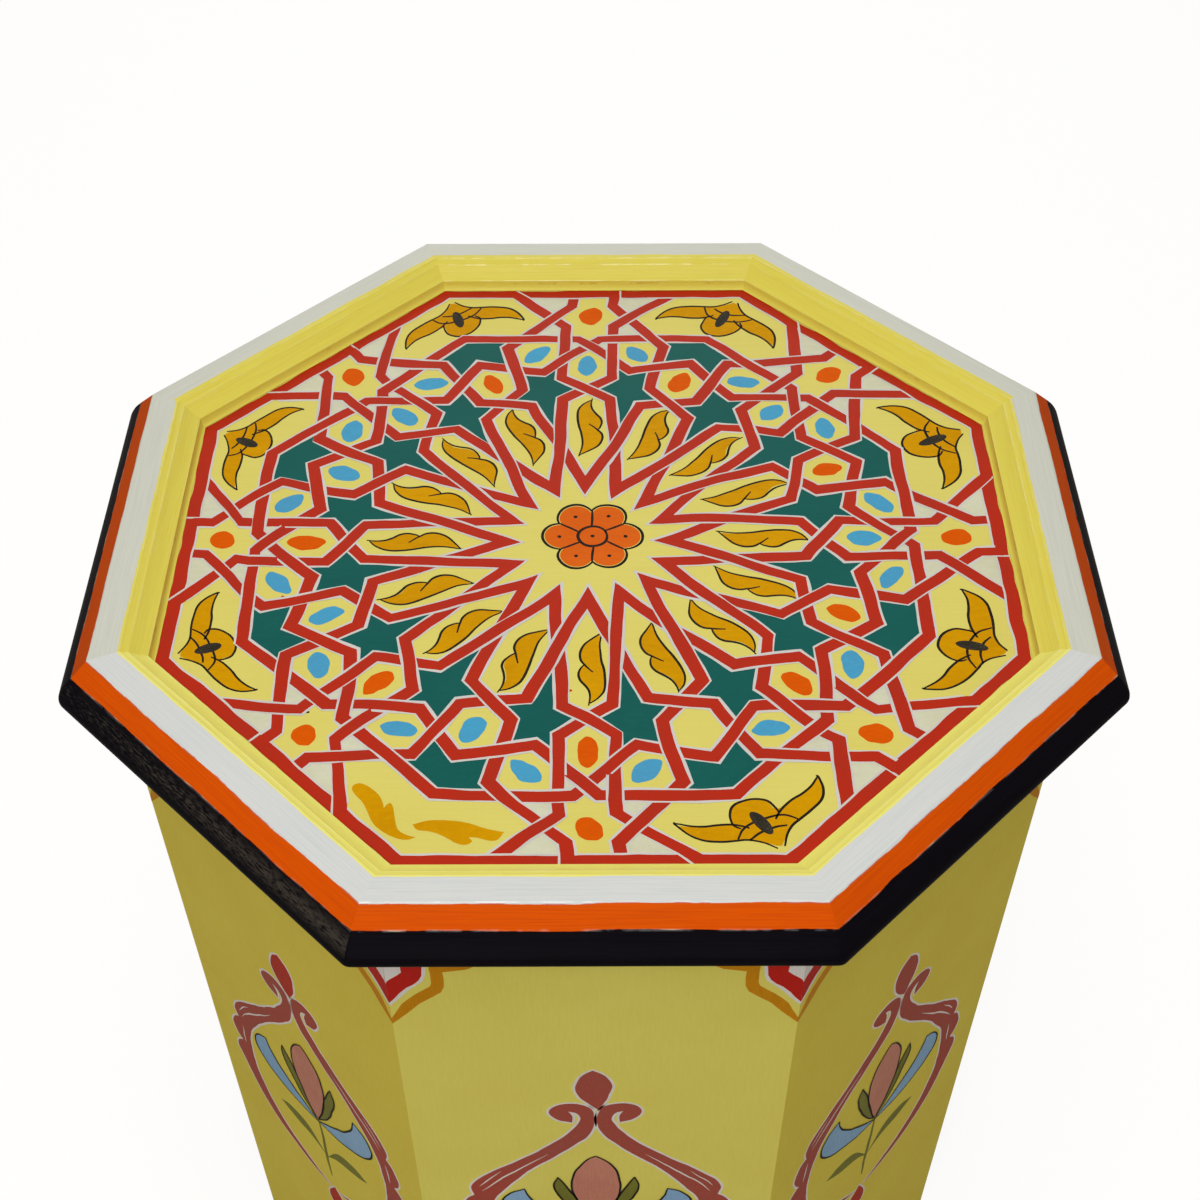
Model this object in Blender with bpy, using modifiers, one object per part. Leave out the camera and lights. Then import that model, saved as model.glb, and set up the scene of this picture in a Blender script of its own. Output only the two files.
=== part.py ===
"""Octagonal side table: a board sunk in a mitred rim, on a hollow body of eight upright panels.

The origin is on the floor under the middle of the table. +Z is up, and one side faces the front, -Y.
Each repeated piece is modelled once in the frame of one side, with X along the side and +Y outwards,
and then turned about Z to its own side.
"""

import math

import bmesh
import bpy
from mathutils import Matrix, Vector

# Driving dimensions, in metres.
SIDES = 8
TABLE_HEIGHT = 0.5200
TOP_ACROSS_FLATS = 0.4574
RIM_OVERHANG = 0.0233
FIT_GAP = 0.0003

# The board and the lip of the rim that laps over it.
BOARD_THICKNESS = 0.0110
BOARD_RECESS = 0.0123
REBATE_LAP = 0.0080

# The rim's profile, from its inner edge outwards.
LIP_EDGE_HEIGHT = 0.0037
BEAD_WIDTH = 0.0010
BEAD_HEIGHT = 0.0007
COVE_WIDTH = 0.0079
COVE_HOLLOW = 0.0006
FILLET_WIDTH = 0.0028
FILLET_DROP = 0.0009
EDGE_WIDTH = 0.0004
FLAT_WIDTH = 0.0127
CHAMFER_WIDTH = 0.0079
CHAMFER_DROP = 0.0075
NOSE_REACH = 0.0074
NOSE_UNDER_RADIUS = 0.0040

# The upright panels and the cusped arch between their two feet.
PANEL_THICKNESS = 0.0120
ARCH_WIDTH = 0.1100
ARCH_HEIGHT = 0.0920
ARCH_SHOULDER_HEIGHT = 0.0240
ARCH_LOBE_RADIUS = 0.0160
ARCH_LOBE_SWEEP = math.radians(110)

# What holds the panels and the board together inside.
CLEAT_WIDTH = 0.0180
CLEAT_HEIGHT = 0.0180
BLOCK_LEG = 0.0200
BLOCK_DEPTH = 0.0080
BLOCK_TAPER = 0.0060
BLOCK_FLOOR_CLEARANCE = 0.0100
SCREW_DIAMETER = 0.0040
SCREW_HEAD_DIAMETER = 0.0080
SCREW_HEAD_HEIGHT = 0.0024
SCREW_POINT_LENGTH = 0.0030
SCREW_BITE = 0.0075

# How finely curves are drawn.
CURVE_STEPS = 8
SCREW_STEPS = 16
CUTTER_OVERRUN = 0.0100

# Places that follow from the sizes. A reach is a distance from the middle, square to a side.
TURN = 2 * math.pi / SIDES
MITRE = math.tan(TURN / 2)
FRONT = -math.pi / 2
RIM_REACH = TOP_ACROSS_FLATS / 2
CHAMFER_REACH = RIM_REACH - NOSE_REACH
FLAT_OUTER_REACH = CHAMFER_REACH - CHAMFER_WIDTH
FLAT_INNER_REACH = FLAT_OUTER_REACH - FLAT_WIDTH
COVE_TOP_REACH = FLAT_INNER_REACH - EDGE_WIDTH - FILLET_WIDTH
COVE_FOOT_REACH = COVE_TOP_REACH - COVE_WIDTH
LIP_REACH = COVE_FOOT_REACH - BEAD_WIDTH
REBATE_REACH = LIP_REACH + REBATE_LAP
BODY_REACH = RIM_REACH - RIM_OVERHANG
BODY_INNER_REACH = BODY_REACH - PANEL_THICKNESS
CLEAT_REACH = BODY_INNER_REACH - FIT_GAP
BOARD_TOP = TABLE_HEIGHT - BOARD_RECESS
BOARD_BOTTOM = BOARD_TOP - BOARD_THICKNESS
BODY_TOP = BOARD_BOTTOM - FIT_GAP
CLEAT_BOTTOM = BODY_TOP - CLEAT_HEIGHT
BLOCK_TOP = CLEAT_BOTTOM - FIT_GAP
SCREW_LENGTH = CLEAT_HEIGHT + FIT_GAP + SCREW_BITE


def clear_scene():
    for obj in list(bpy.data.objects):
        bpy.data.objects.remove(obj, do_unlink=True)


def new_collection(name):
    collection = bpy.data.collections.new(name)
    bpy.context.scene.collection.children.link(collection)
    return collection


def finish(name, colour, roughness, metallic=0.0):
    """A plain Principled material: colour is linear red, green and blue."""
    material = bpy.data.materials.new(name)
    material.use_nodes = True
    shader = material.node_tree.nodes["Principled BSDF"]
    shader.inputs["Base Color"].default_value = (*colour, 1.0)
    shader.inputs["Roughness"].default_value = roughness
    shader.inputs["Metallic"].default_value = metallic
    return material


def bend(start, pull, end, steps=CURVE_STEPS):
    """Points of a smooth bend from start to end, drawn towards pull."""
    start, pull, end = Vector(start), Vector(pull), Vector(end)
    shares = [step / steps for step in range(steps + 1)]
    return [start * (1 - t) ** 2 + pull * 2 * t * (1 - t) + end * t**2 for t in shares]


def arc(centre, radius, first, last, steps=CURVE_STEPS):
    """Points of a round arc between two angles, in radians."""
    angles = [first + (last - first) * step / steps for step in range(steps + 1)]
    return [Vector(centre) + radius * Vector((math.cos(a), math.sin(a))) for a in angles]


def outline_mesh(name, points, thickness):
    """A flat outline in XY, made solid to half its thickness above and below."""
    curve = bpy.data.curves.new(name, "CURVE")
    curve.dimensions = "2D"
    curve.fill_mode = "BOTH"
    curve.extrude = thickness / 2
    spline = curve.splines.new("POLY")
    spline.points.add(len(points) - 1)
    for spot, point in zip(spline.points, points):
        spot.co = (point[0], point[1], 0, 1)
    spline.use_cyclic_u = True
    guide = bpy.data.objects.new(name, curve)
    bpy.context.scene.collection.objects.link(guide)
    evaluated = guide.evaluated_get(bpy.context.evaluated_depsgraph_get())
    mesh = bpy.data.meshes.new_from_object(evaluated)
    bpy.data.objects.remove(guide)
    bpy.data.curves.remove(curve)
    mesh.name = name
    solid = bmesh.new()
    solid.from_mesh(mesh)
    bmesh.ops.remove_doubles(solid, verts=solid.verts, dist=1e-6)
    bmesh.ops.recalc_face_normals(solid, faces=solid.faces)
    solid.to_mesh(mesh)
    solid.free()
    return mesh


def mitred_mesh(name, profile):
    """A length of one side with this profile of (reach, height) points, its ends cut on the mitre."""
    mesh = outline_mesh(name, profile, RIM_REACH)
    mesh.transform(Matrix(((0, 0, 1, 0), (1, 0, 0, 0), (0, 1, 0, 0), (0, 0, 0, 1))))
    for vertex in mesh.vertices:
        half_length = vertex.co.y * MITRE - FIT_GAP / 2
        vertex.co.x = math.copysign(half_length, vertex.co.x)
    return mesh


def turned_mesh(name, profile):
    """A round shape about Z from a profile of (radius, height) points, run from its top downwards."""
    mesh = bpy.data.meshes.new(name)
    edges = [(i, i + 1) for i in range(len(profile) - 1)]
    mesh.from_pydata([(radius, 0, height) for radius, height in profile], edges, [])
    return mesh


def add_screw_turn(obj):
    turn = obj.modifiers.new("turn", "SCREW")
    turn.steps = SCREW_STEPS
    turn.render_steps = SCREW_STEPS
    turn.use_merge_vertices = True
    turn.merge_threshold = 0.00001


def place(name, mesh, material, collection, angle=0.0, location=(0, 0, 0)):
    """An object of this mesh, moved in the frame of one side and then turned with it."""
    obj = bpy.data.objects.new(name, mesh)
    if material and not mesh.materials:
        mesh.materials.append(material)
    collection.objects.link(obj)
    obj.rotation_euler.z = angle
    obj.location = Matrix.Rotation(angle, 3, "Z") @ Vector(location)
    return obj


def place_cutter(name, mesh, collection, angle=0.0, location=(0, 0, 0)):
    cutter = place(name, mesh, None, collection, angle, location)
    cutter.hide_render = True
    cutter.display_type = "WIRE"
    return cutter


def cut(obj, cutter):
    boolean = obj.modifiers.new("cut " + cutter.name, "BOOLEAN")
    boolean.operation = "DIFFERENCE"
    boolean.solver = "EXACT"
    boolean.object = cutter


def side_turn(side):
    """The turn about Z that brings +Y to face out of this side. Side 0 is the front."""
    return FRONT + side * TURN - math.pi / 2


def rim_profile():
    lip_bottom = BOARD_TOP + FIT_GAP
    lip_top = lip_bottom + LIP_EDGE_HEIGHT
    cove_foot = lip_top + BEAD_HEIGHT
    cove_top = TABLE_HEIGHT - 2 * FILLET_DROP
    nose_top = TABLE_HEIGHT - CHAMFER_DROP
    nose_foot = BOARD_BOTTOM + NOSE_UNDER_RADIUS
    nose_slope = CHAMFER_DROP / CHAMFER_WIDTH
    bead = bend((LIP_REACH, lip_top), (LIP_REACH, cove_foot), (COVE_FOOT_REACH, cove_foot))
    cove_pull = (COVE_TOP_REACH - COVE_WIDTH / 2, (cove_foot + cove_top) / 2 - 2 * COVE_HOLLOW)
    cove = bend((COVE_FOOT_REACH, cove_foot), cove_pull, (COVE_TOP_REACH, cove_top))
    nose_pull = (RIM_REACH, nose_top - NOSE_REACH * nose_slope)
    nose = bend((CHAMFER_REACH, nose_top), nose_pull, (RIM_REACH, nose_foot))
    under_centre = (RIM_REACH - NOSE_UNDER_RADIUS, nose_foot)
    under = arc(under_centre, NOSE_UNDER_RADIUS, 0, -math.pi / 2)
    return [
        Vector((LIP_REACH, lip_bottom)),
        *bead,
        *cove[1:],
        Vector((FLAT_INNER_REACH - EDGE_WIDTH, TABLE_HEIGHT - FILLET_DROP)),
        Vector((FLAT_INNER_REACH, TABLE_HEIGHT)),
        Vector((FLAT_OUTER_REACH, TABLE_HEIGHT)),
        *nose,
        *under[1:],
        Vector((REBATE_REACH, BOARD_BOTTOM)),
        Vector((REBATE_REACH, lip_bottom)),
    ]


def arch_outline():
    """The opening under a panel, in (along the side, height), run past the floor."""
    half_width = ARCH_WIDTH / 2
    lobe_centre = (half_width - ARCH_LOBE_RADIUS, ARCH_SHOULDER_HEIGHT)
    lobe = arc(lobe_centre, ARCH_LOBE_RADIUS, 0, ARCH_LOBE_SWEEP)
    cusp = lobe[-1]
    crown_pull = (cusp.x, (cusp.y + 2 * ARCH_HEIGHT) / 3)
    crown = bend(cusp, crown_pull, (0, ARCH_HEIGHT))
    right = [Vector((half_width, -CUTTER_OVERRUN)), *lobe, *crown[1:]]
    left = [Vector((-point.x, point.y)) for point in reversed(right[:-1])]
    return right + left


def panel_outline():
    """The panel's plan: a board whose two upright edges are bevelled to meet the next panels."""
    reaches = (BODY_REACH, BODY_INNER_REACH)
    outer, inner = [(reach * MITRE - FIT_GAP / 2, reach) for reach in reaches]
    return [(-outer[0], outer[1]), (-inner[0], inner[1]), inner, outer]


def block_outline():
    """The glue block's plan in the frame of a corner, whose point is on +Y."""
    half_turn = TURN / 2
    point = CLEAT_REACH / math.cos(half_turn)
    leg_along = BLOCK_LEG * math.cos(half_turn)
    leg_back = point - BLOCK_LEG * math.sin(half_turn)
    inner_along = leg_along - BLOCK_TAPER
    inner_back = leg_back - BLOCK_DEPTH
    left = [(-leg_along, leg_back), (-inner_along, inner_back)]
    right = [(inner_along, inner_back), (leg_along, leg_back)]
    return [(0, point), *left, *right]


def screw_profile(grow=0.0):
    """A countersunk screw with its point up and its head's face at height 0, or a hole around it."""
    shank = SCREW_DIAMETER / 2 + grow
    head = SCREW_HEAD_DIAMETER / 2 + grow
    tip = SCREW_LENGTH + grow
    mouth = -CUTTER_OVERRUN if grow else 0.0
    return [
        (0, tip),
        (shank, tip - SCREW_POINT_LENGTH),
        (shank, SCREW_HEAD_HEIGHT + grow),
        (head, grow),
        (head, mouth),
        (0, mouth),
    ]


def lifted(mesh, height):
    mesh.transform(Matrix.Translation((0, 0, height)))
    return mesh


def build_board(parts, hole_cutters, paint):
    solid = bmesh.new()
    corner = (REBATE_REACH - FIT_GAP) / math.cos(TURN / 2)
    bmesh.ops.create_cone(
        solid, cap_ends=True, segments=SIDES, radius1=corner, radius2=corner, depth=BOARD_THICKNESS
    )
    mesh = bpy.data.meshes.new("top_panel")
    solid.to_mesh(mesh)
    solid.free()
    first_corner = Vector(mesh.vertices[0].co).xy
    corner_angle = math.atan2(first_corner.y, first_corner.x)
    mesh.transform(Matrix.Rotation(FRONT + TURN / 2 - corner_angle, 4, "Z"))
    lifted(mesh, BOARD_TOP - BOARD_THICKNESS / 2)
    board = place("top_panel", mesh, paint, parts)
    for cutter in hole_cutters:
        cut(board, cutter)


def build_side(side, meshes, paints, parts, cutters):
    """All the pieces of one side, and the glue block of the corner that follows it."""
    angle = side_turn(side)
    number = str(side + 1)
    place("rim_moulding_" + number, meshes["rim"], paints["rim"], parts, angle)
    panel = place("side_panel_" + number, meshes["panel"], paints["body"], parts, angle)
    cut(panel, place_cutter("arch_cutter_" + number, meshes["arch"], cutters, angle))
    cleat = place("top_cleat_" + number, meshes["cleat"], paints["wood"], parts, angle)
    screw_spot = (0, CLEAT_REACH - CLEAT_WIDTH / 2, CLEAT_BOTTOM)
    hole = place_cutter("screw_hole_" + number, meshes["hole"], cutters, angle, screw_spot)
    add_screw_turn(hole)
    cut(cleat, hole)
    screw = place("top_screw_" + number, meshes["screw"], paints["steel"], parts, angle, screw_spot)
    add_screw_turn(screw)
    place("corner_block_" + number, meshes["block"], paints["wood"], parts, angle + TURN / 2)
    return hole


def main():
    clear_scene()
    parts = new_collection("painted_side_table")
    cutters = new_collection("cutters")
    paints = {
        "board": finish("painted board", (0.71, 0.61, 0.14), 0.45),
        "rim": finish("painted rim", (0.64, 0.66, 0.64), 0.40),
        "body": finish("painted panels", (0.71, 0.61, 0.14), 0.50),
        "wood": finish("bare softwood", (0.55, 0.38, 0.20), 0.75),
        "steel": finish("zinc plated steel", (0.60, 0.60, 0.58), 0.35, 1.0),
    }
    cleat_inner = CLEAT_REACH - CLEAT_WIDTH
    cleat_profile = [
        (cleat_inner, CLEAT_BOTTOM),
        (CLEAT_REACH, CLEAT_BOTTOM),
        (CLEAT_REACH, BODY_TOP),
        (cleat_inner, BODY_TOP),
    ]
    block_length = BLOCK_TOP - BLOCK_FLOOR_CLEARANCE
    arch = outline_mesh("arch", arch_outline(), PANEL_THICKNESS + 2 * CUTTER_OVERRUN)
    arch.transform(Matrix.Rotation(math.pi / 2, 4, "X"))
    arch.transform(Matrix.Translation((0, BODY_REACH - PANEL_THICKNESS / 2, 0)))
    meshes = {
        "rim": mitred_mesh("rim_moulding", rim_profile()),
        "panel": lifted(outline_mesh("side_panel", panel_outline(), BODY_TOP), BODY_TOP / 2),
        "arch": arch,
        "cleat": mitred_mesh("top_cleat", cleat_profile),
        "hole": turned_mesh("screw_hole", screw_profile(FIT_GAP)),
        "screw": turned_mesh("top_screw", screw_profile()),
        "block": lifted(
            outline_mesh("corner_block", block_outline(), block_length),
            BLOCK_FLOOR_CLEARANCE + block_length / 2,
        ),
    }
    holes = [build_side(side, meshes, paints, parts, cutters) for side in range(SIDES)]
    build_board(parts, holes, paints["board"])


main()
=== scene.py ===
# %% [markdown]
# # A painted octagonal side table
#
# The table is a small North African one: a board sunk in a mitred rim, on a hollow body of eight upright
# panels, painted by hand all over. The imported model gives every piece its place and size. This lesson
# dresses it: first the camera and the light, then the paints, then the board's woven star, the rim and
# the panels. All paint is made as thin real layers, so that it still reads when the lights change.

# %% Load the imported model
import math
from functools import partial

import bmesh
import bpy
import numpy as np
from mathutils import Matrix, Quaternion, Vector, noise


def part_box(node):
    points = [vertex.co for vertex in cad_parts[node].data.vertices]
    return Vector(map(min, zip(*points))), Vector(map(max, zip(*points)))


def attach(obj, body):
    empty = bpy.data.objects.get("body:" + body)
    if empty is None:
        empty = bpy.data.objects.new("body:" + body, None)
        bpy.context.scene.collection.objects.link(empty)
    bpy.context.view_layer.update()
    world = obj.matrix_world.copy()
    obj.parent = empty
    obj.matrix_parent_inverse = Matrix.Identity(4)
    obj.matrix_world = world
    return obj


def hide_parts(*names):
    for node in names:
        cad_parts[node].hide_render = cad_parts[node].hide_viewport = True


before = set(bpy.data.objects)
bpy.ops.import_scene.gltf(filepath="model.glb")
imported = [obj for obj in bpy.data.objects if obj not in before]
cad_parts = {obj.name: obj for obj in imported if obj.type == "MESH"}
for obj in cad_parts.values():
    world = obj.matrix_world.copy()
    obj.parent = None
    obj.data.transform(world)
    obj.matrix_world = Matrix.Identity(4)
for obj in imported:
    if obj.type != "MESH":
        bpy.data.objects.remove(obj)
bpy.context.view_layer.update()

# %% [markdown]
# ## Sizes from the frame
#
# A reach is a distance from the middle of the table, square to one of its sides. Reading the reaches and
# heights from the model's own boxes keeps each layer of paint on the face that carries it. The steps of
# the moulding are too small to read off a box, so they are listed where the rim is made.

# %% Sizes
MM = 0.001
SIDES = 8
TURN = 2 * math.pi / SIDES
HALF_TURN = TURN / 2
MITRE = math.tan(HALF_TURN)
rim_low, rim_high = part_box("rim_moulding_1")
panel_low, panel_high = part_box("side_panel_1")
board_low, board_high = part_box("top_panel")
RIM_REACH = -rim_low.y
RIM_TOP = rim_high.z
RIM_BOTTOM = rim_low.z
LIP_REACH = -rim_high.y
BOARD_TOP = board_high.z
BOARD_BOTTOM = board_low.z
BOARD_REACH = board_high.y
BODY_REACH = -panel_low.y
BODY_INNER_REACH = -panel_high.y
BODY_TOP = panel_high.z
print("rim reach", round(RIM_REACH, 4), "board top", round(BOARD_TOP, 4), "body reach", round(BODY_REACH, 4))

# %% [markdown]
# ## The camera
#
# The picture was taken from the front, about half way between level and straight down. The lens and
# the place of the camera were worked out from the corners of the rim, so they are kept as plain numbers.
# The picture is a crop, so the lens axis falls below its middle, and the camera's shift says by how much.

# %% Camera
IMAGE_SIZE = 1200
SENSOR_WIDTH = 36.0
FOCAL_LENGTH_PIXELS = 1801
LENS_AXIS_ROW = 750.8
VIEW_ELEVATION = math.radians(49.617)
VIEW_AZIMUTH = math.radians(-0.027)
VIEW_ROLL = math.radians(-0.158)
VIEW_DISTANCE = 0.7248
VIEW_TARGET = Vector((0.0024, -0.1391, RIM_TOP))


def add_object(data):
    """Puts a mesh, a lamp or a camera into the scene under its own name."""
    obj = bpy.data.objects.new(data.name, data)
    bpy.context.scene.collection.objects.link(obj)
    return obj


camera_data = bpy.data.cameras.new("camera")
camera_data.sensor_width = SENSOR_WIDTH
camera_data.lens = FOCAL_LENGTH_PIXELS * SENSOR_WIDTH / IMAGE_SIZE
camera_data.shift_y = (LENS_AXIS_ROW - IMAGE_SIZE / 2) / IMAGE_SIZE
camera_data.clip_start = 0.01
camera = add_object(camera_data)
backwards = Vector((
    math.sin(VIEW_AZIMUTH) * math.cos(VIEW_ELEVATION),
    -math.cos(VIEW_AZIMUTH) * math.cos(VIEW_ELEVATION),
    math.sin(VIEW_ELEVATION),
))
camera.location = VIEW_TARGET + backwards * VIEW_DISTANCE
camera.rotation_mode = "QUATERNION"
camera.rotation_quaternion = (-backwards).to_track_quat("-Z", "Y") @ Quaternion((0, 0, 1), VIEW_ROLL)
bpy.context.scene.camera = camera
bpy.context.scene.view_settings.view_transform = "Standard"
print("lens", round(camera_data.lens, 2), "mm, shift", round(camera_data.shift_y, 4))

# %% [markdown]
# ## Colours and nodes
#
# Colours are written as they look on screen, in hex, and turned to linear light by one function. One more
# function adds a node with its settings. Its inputs are given in order or by name, and each is a value, a
# socket, or another node, which then gives its first output. Shaders and Geometry Nodes alike are built
# with it, so a material reads as a list of steps.

# %% Colour and node helpers
def colour(hex_code):
    """A screen colour such as #DED16A as linear red, green, blue and alpha."""
    channels = [int(hex_code[start:start + 2], 16) / 255 for start in (1, 3, 5)]
    linear = [c / 12.92 if c <= 0.04045 else ((c + 0.055) / 1.055) ** 2.4 for c in channels]
    return (*linear, 1.0)


def set_inputs(tree, node, inputs):
    """Sets or links inputs by name, or those in use in order. A list links several sources to one."""
    if not isinstance(inputs, dict):
        inputs = dict(zip([i for i, socket in enumerate(node.inputs) if socket.enabled], inputs))
    for socket, given in inputs.items():
        for value in given if isinstance(given, list) else [given]:
            if isinstance(value, bpy.types.Node):
                value = next(output for output in value.outputs if output.enabled)
            if isinstance(value, bpy.types.NodeSocket):
                tree.links.new(value, node.inputs[socket])
            else:
                node.inputs[socket].default_value = value


def add_node(tree, kind, inputs=(), **settings):
    node = tree.nodes.new(kind)
    for name, value in settings.items():
        setattr(node, name, value)
    set_inputs(tree, node, inputs)
    return node


def new_material(name):
    """A material with its tree, its shader and a short way to add nodes to that tree."""
    material = bpy.data.materials.new(name)
    material.use_nodes = True
    tree = material.node_tree
    return material, tree, tree.nodes["Principled BSDF"], partial(add_node, tree)


# The kinds of node that come up often.
MATH, VECTOR_MATH = "ShaderNodeMath", "ShaderNodeVectorMath"
NOISE, MAPPING, BUMP = "ShaderNodeTexNoise", "ShaderNodeMapping", "ShaderNodeBump"
MAP_RANGE, MIX = "ShaderNodeMapRange", "ShaderNodeMix"

# %% [markdown]
# ## Floor and light
#
# The table stands on a plain pale floor under soft light. To the camera the floor and the world are white,
# and a share of plain shaded floor stays in the mix, so that the table keeps its soft shadow. The key is a
# broad lamp overhead, a little to the front, and makes the top brighter than the panels. A small lamp in
# front, a little to the left, throws the rim's shadow on the panels, and a broad and low one fills it. The
# last lamp stands behind and keeps the far side of the table and the floor there from going grey.

# %% Floor and light
SKY_STRENGTH = 0.42
FLOOR_SHADED_SHARE = 0.5
FLOOR_GLOW = 1.73
FLOOR_RADIUS = 8.0
LAMPS = (
    ("key", Vector((-0.05, -0.33, 1.75)), 0.90, 6.2),
    ("front", Vector((-0.30, -1.38, 2.20)), 0.55, 7.0),
    ("fill", Vector((-0.35, -2.40, 0.75)), 1.60, 10.5),
    ("backdrop", Vector((0.0, 2.0, 1.6)), 1.40, 8.0),
)

world = bpy.data.worlds.new("studio")
bpy.context.scene.world = world
world.use_nodes = True
sky = world.node_tree
seen = add_node(sky, "ShaderNodeLightPath").outputs
shown = add_node(sky, MATH, (seen["Is Camera Ray"], seen["Is Transmission Ray"]), operation="MAXIMUM")
sky_level = add_node(sky, MAP_RANGE, {"Value": shown, "To Min": SKY_STRENGTH, "To Max": 1.0})
sky_tint = add_node(sky, MIX, (shown, colour("#FFFBEE"), colour("#FFFFFF")), data_type="RGBA")
set_inputs(sky, sky.nodes["Background"], {"Strength": sky_level, "Color": sky_tint})

floor_mesh = bpy.data.meshes.new("floor")
shape = bmesh.new()
bmesh.ops.create_circle(shape, cap_ends=True, segments=64, radius=FLOOR_RADIUS)
shape.to_mesh(floor_mesh)
shape.free()
floor = add_object(floor_mesh)
floor_paint, tree, shader, add = new_material("pale_studio_floor")
set_inputs(tree, shader, {"Base Color": colour("#A3A19D"), "Roughness": 0.9, "Specular IOR Level": 0.1})
seen = add("ShaderNodeLightPath").outputs
shown = add(MATH, (seen["Is Camera Ray"], 1 - FLOOR_SHADED_SHARE), operation="MULTIPLY")
white = add("ShaderNodeEmission", {"Color": colour("#FFFFFF"), "Strength": FLOOR_GLOW})
both = add("ShaderNodeMixShader", (shown, shader, white))
set_inputs(tree, tree.nodes["Material Output"], {"Surface": both})
floor_mesh.materials.append(floor_paint)

for name, lamp_place, size, watts in LAMPS:
    lamp_data = bpy.data.lights.new(name, "AREA")
    lamp_data.shape = "DISK"
    lamp_data.size = size
    lamp_data.energy = watts
    lamp = add_object(lamp_data)
    lamp.location = lamp_place
    lamp.rotation_mode = "QUATERNION"
    lamp.rotation_quaternion = (Vector((0, 0, RIM_TOP)) - lamp_place).to_track_quat("-Z", "Y")
    print(name, "lamp", watts, "W at", lamp_place[:])

# %% [markdown]
# ## The paints
#
# The table is painted with oil enamel from a soft brush. The coat is thicker in some strokes than in
# others, so the colour wavers between a full and a thin tone, and the ridges of the strokes catch the
# light. One function makes every plain paint from three tones, full, thin and the specks in the coat. Only
# these, the size of a stroke and the sheen change. A stroke is given as its length along X, Y and Z in
# millimetres. Paint on a strap or a line reads the strap's own brush map instead, where X runs along the
# stroke, so that strokes turn with the strap.

# %% Brushed enamel
CLOUD_SIZE = 38 * MM
STROKE_HEIGHT = 0.08 * MM


def enamel(name, tones, stroke, roughness, speck_size=1.2, brush_map=False, relief=0.5, gloss=0.08):
    """Oil enamel from a soft brush: uneven strokes, a slight satin sheen and fine specks in the coat."""
    full, thin, speck = [colour(tone) for tone in tones.split()]
    material, tree, shader, add = new_material(name)
    if brush_map:
        place = add("ShaderNodeUVMap", uv_map="brush")
    else:
        place = add("ShaderNodeTexCoord").outputs["Object"]
    strokes_per_metre = tuple(1 / (size * MM) for size in stroke)
    stretched = add(MAPPING, {"Vector": place, "Scale": strokes_per_metre})
    bristle = add(NOISE, {"Vector": stretched, "Scale": 1.0, "Detail": 4.0, "Roughness": 0.6})
    cloud = add(NOISE, {"Vector": place, "Scale": 1 / CLOUD_SIZE, "Detail": 2.0})
    grain = add(NOISE, {"Vector": place, "Scale": 1 / (speck_size * MM), "Detail": 3.0, "Roughness": 0.7})
    coat = add(MATH, (bristle, cloud), operation="ADD")
    coat_share = add(MAP_RANGE, {"Value": coat, "From Min": 0.75, "From Max": 1.30})
    tone = add(MIX, (coat_share, full, thin), data_type="RGBA")
    speck_share = add(MAP_RANGE, {"Value": grain, "From Min": 0.56, "From Max": 0.78, "To Max": 0.6})
    specked = add(MIX, (speck_share, tone, speck), data_type="RGBA")
    sheen = add(MAP_RANGE, {
        "Value": bristle, "From Min": 0.3, "From Max": 0.7,
        "To Min": roughness - 0.07, "To Max": roughness + 0.07,
    })
    height = add(MATH, (bristle, grain), operation="ADD")
    ridges = add(BUMP, {"Strength": relief, "Distance": STROKE_HEIGHT, "Height": height})
    set_inputs(tree, shader, {
        "Base Color": specked, "Roughness": sheen, "Normal": ridges, "Specular IOR Level": gloss,
    })
    return material


ACROSS_BOARD = (46, 1.3, 46)
UP_PANEL = (0.7, 0.7, 9)
ALONG_STRAP = (16, 0.7, 1)
DABBED = (5, 2, 5)
HATCHED = (6, 0.5, 1)
board_yellow = enamel("yellow_board_enamel", "#E0D570 #DCD06A #E4DA7D", ACROSS_BOARD, 0.42)
# The front panel's paler yellow stands for painted light, and the deeper gold of the others for painted
# shade.
lit_front_panel_yellow = enamel("lit_front_panel_enamel", "#E1D568 #DDCF60 #E4D975", UP_PANEL, 0.5, 0.8, relief=0.9)
shaded_panel_gold = enamel("shaded_gold_panel_enamel", "#DDCA4E #D9C347 #E0CF5C", UP_PANEL, 0.5, 0.8, relief=0.9)
strap_red = enamel("red_strap_enamel", "#BB290F #AE2A17 #C23516", ALONG_STRAP, 0.42, 0.9, True)
line_white = enamel("white_line_enamel", "#D6D3D0 #C9C4C4 #DDDDD7", ALONG_STRAP, 0.45, 0.9, True)
cell_white = enamel("white_cell_enamel", "#D8D8C0 #CECDB0 #DEDECC", DABBED, 0.45, 2.0)
star_teal = enamel("teal_star_enamel", "#085853 #0E5E58 #1B665F", DABBED, 0.45, 0.9)
dot_blue = enamel("blue_dot_enamel", "#45A3CE #4B99C4 #62AFD4", DABBED, 0.40, 1.5)
dot_orange = enamel("orange_dot_enamel", "#E05D01 #D85504 #E46B10", DABBED, 0.40, 1.5, gloss=0.02)
leaf_ochre = enamel("ochre_leaf_enamel", "#D79C01 #CB8E01 #DEA70A", DABBED, 0.42, 2.0, gloss=0.02)
rosette_orange = enamel("orange_rosette_enamel", "#E0671A #D75F17 #E57428", DABBED, 0.42, 1.2, gloss=0.02)
ink_black = enamel("black_line_ink", "#1B1610 #282117 #332B1E", DABBED, 0.50, 1.0)
eye_ink = enamel("hatched_eye_ink", "#1B1710 #403B30 #8A8472", HATCHED, 0.50, 0.7, True)
panel_red = enamel("red_brown_panel_enamel", "#A84739 #9C4F44 #B2685B", UP_PANEL, 0.5, 1.4)
bud_red = enamel("red_bud_enamel", "#B62E1B #A83223 #BC4030", UP_PANEL, 0.48, 1.4)
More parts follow.
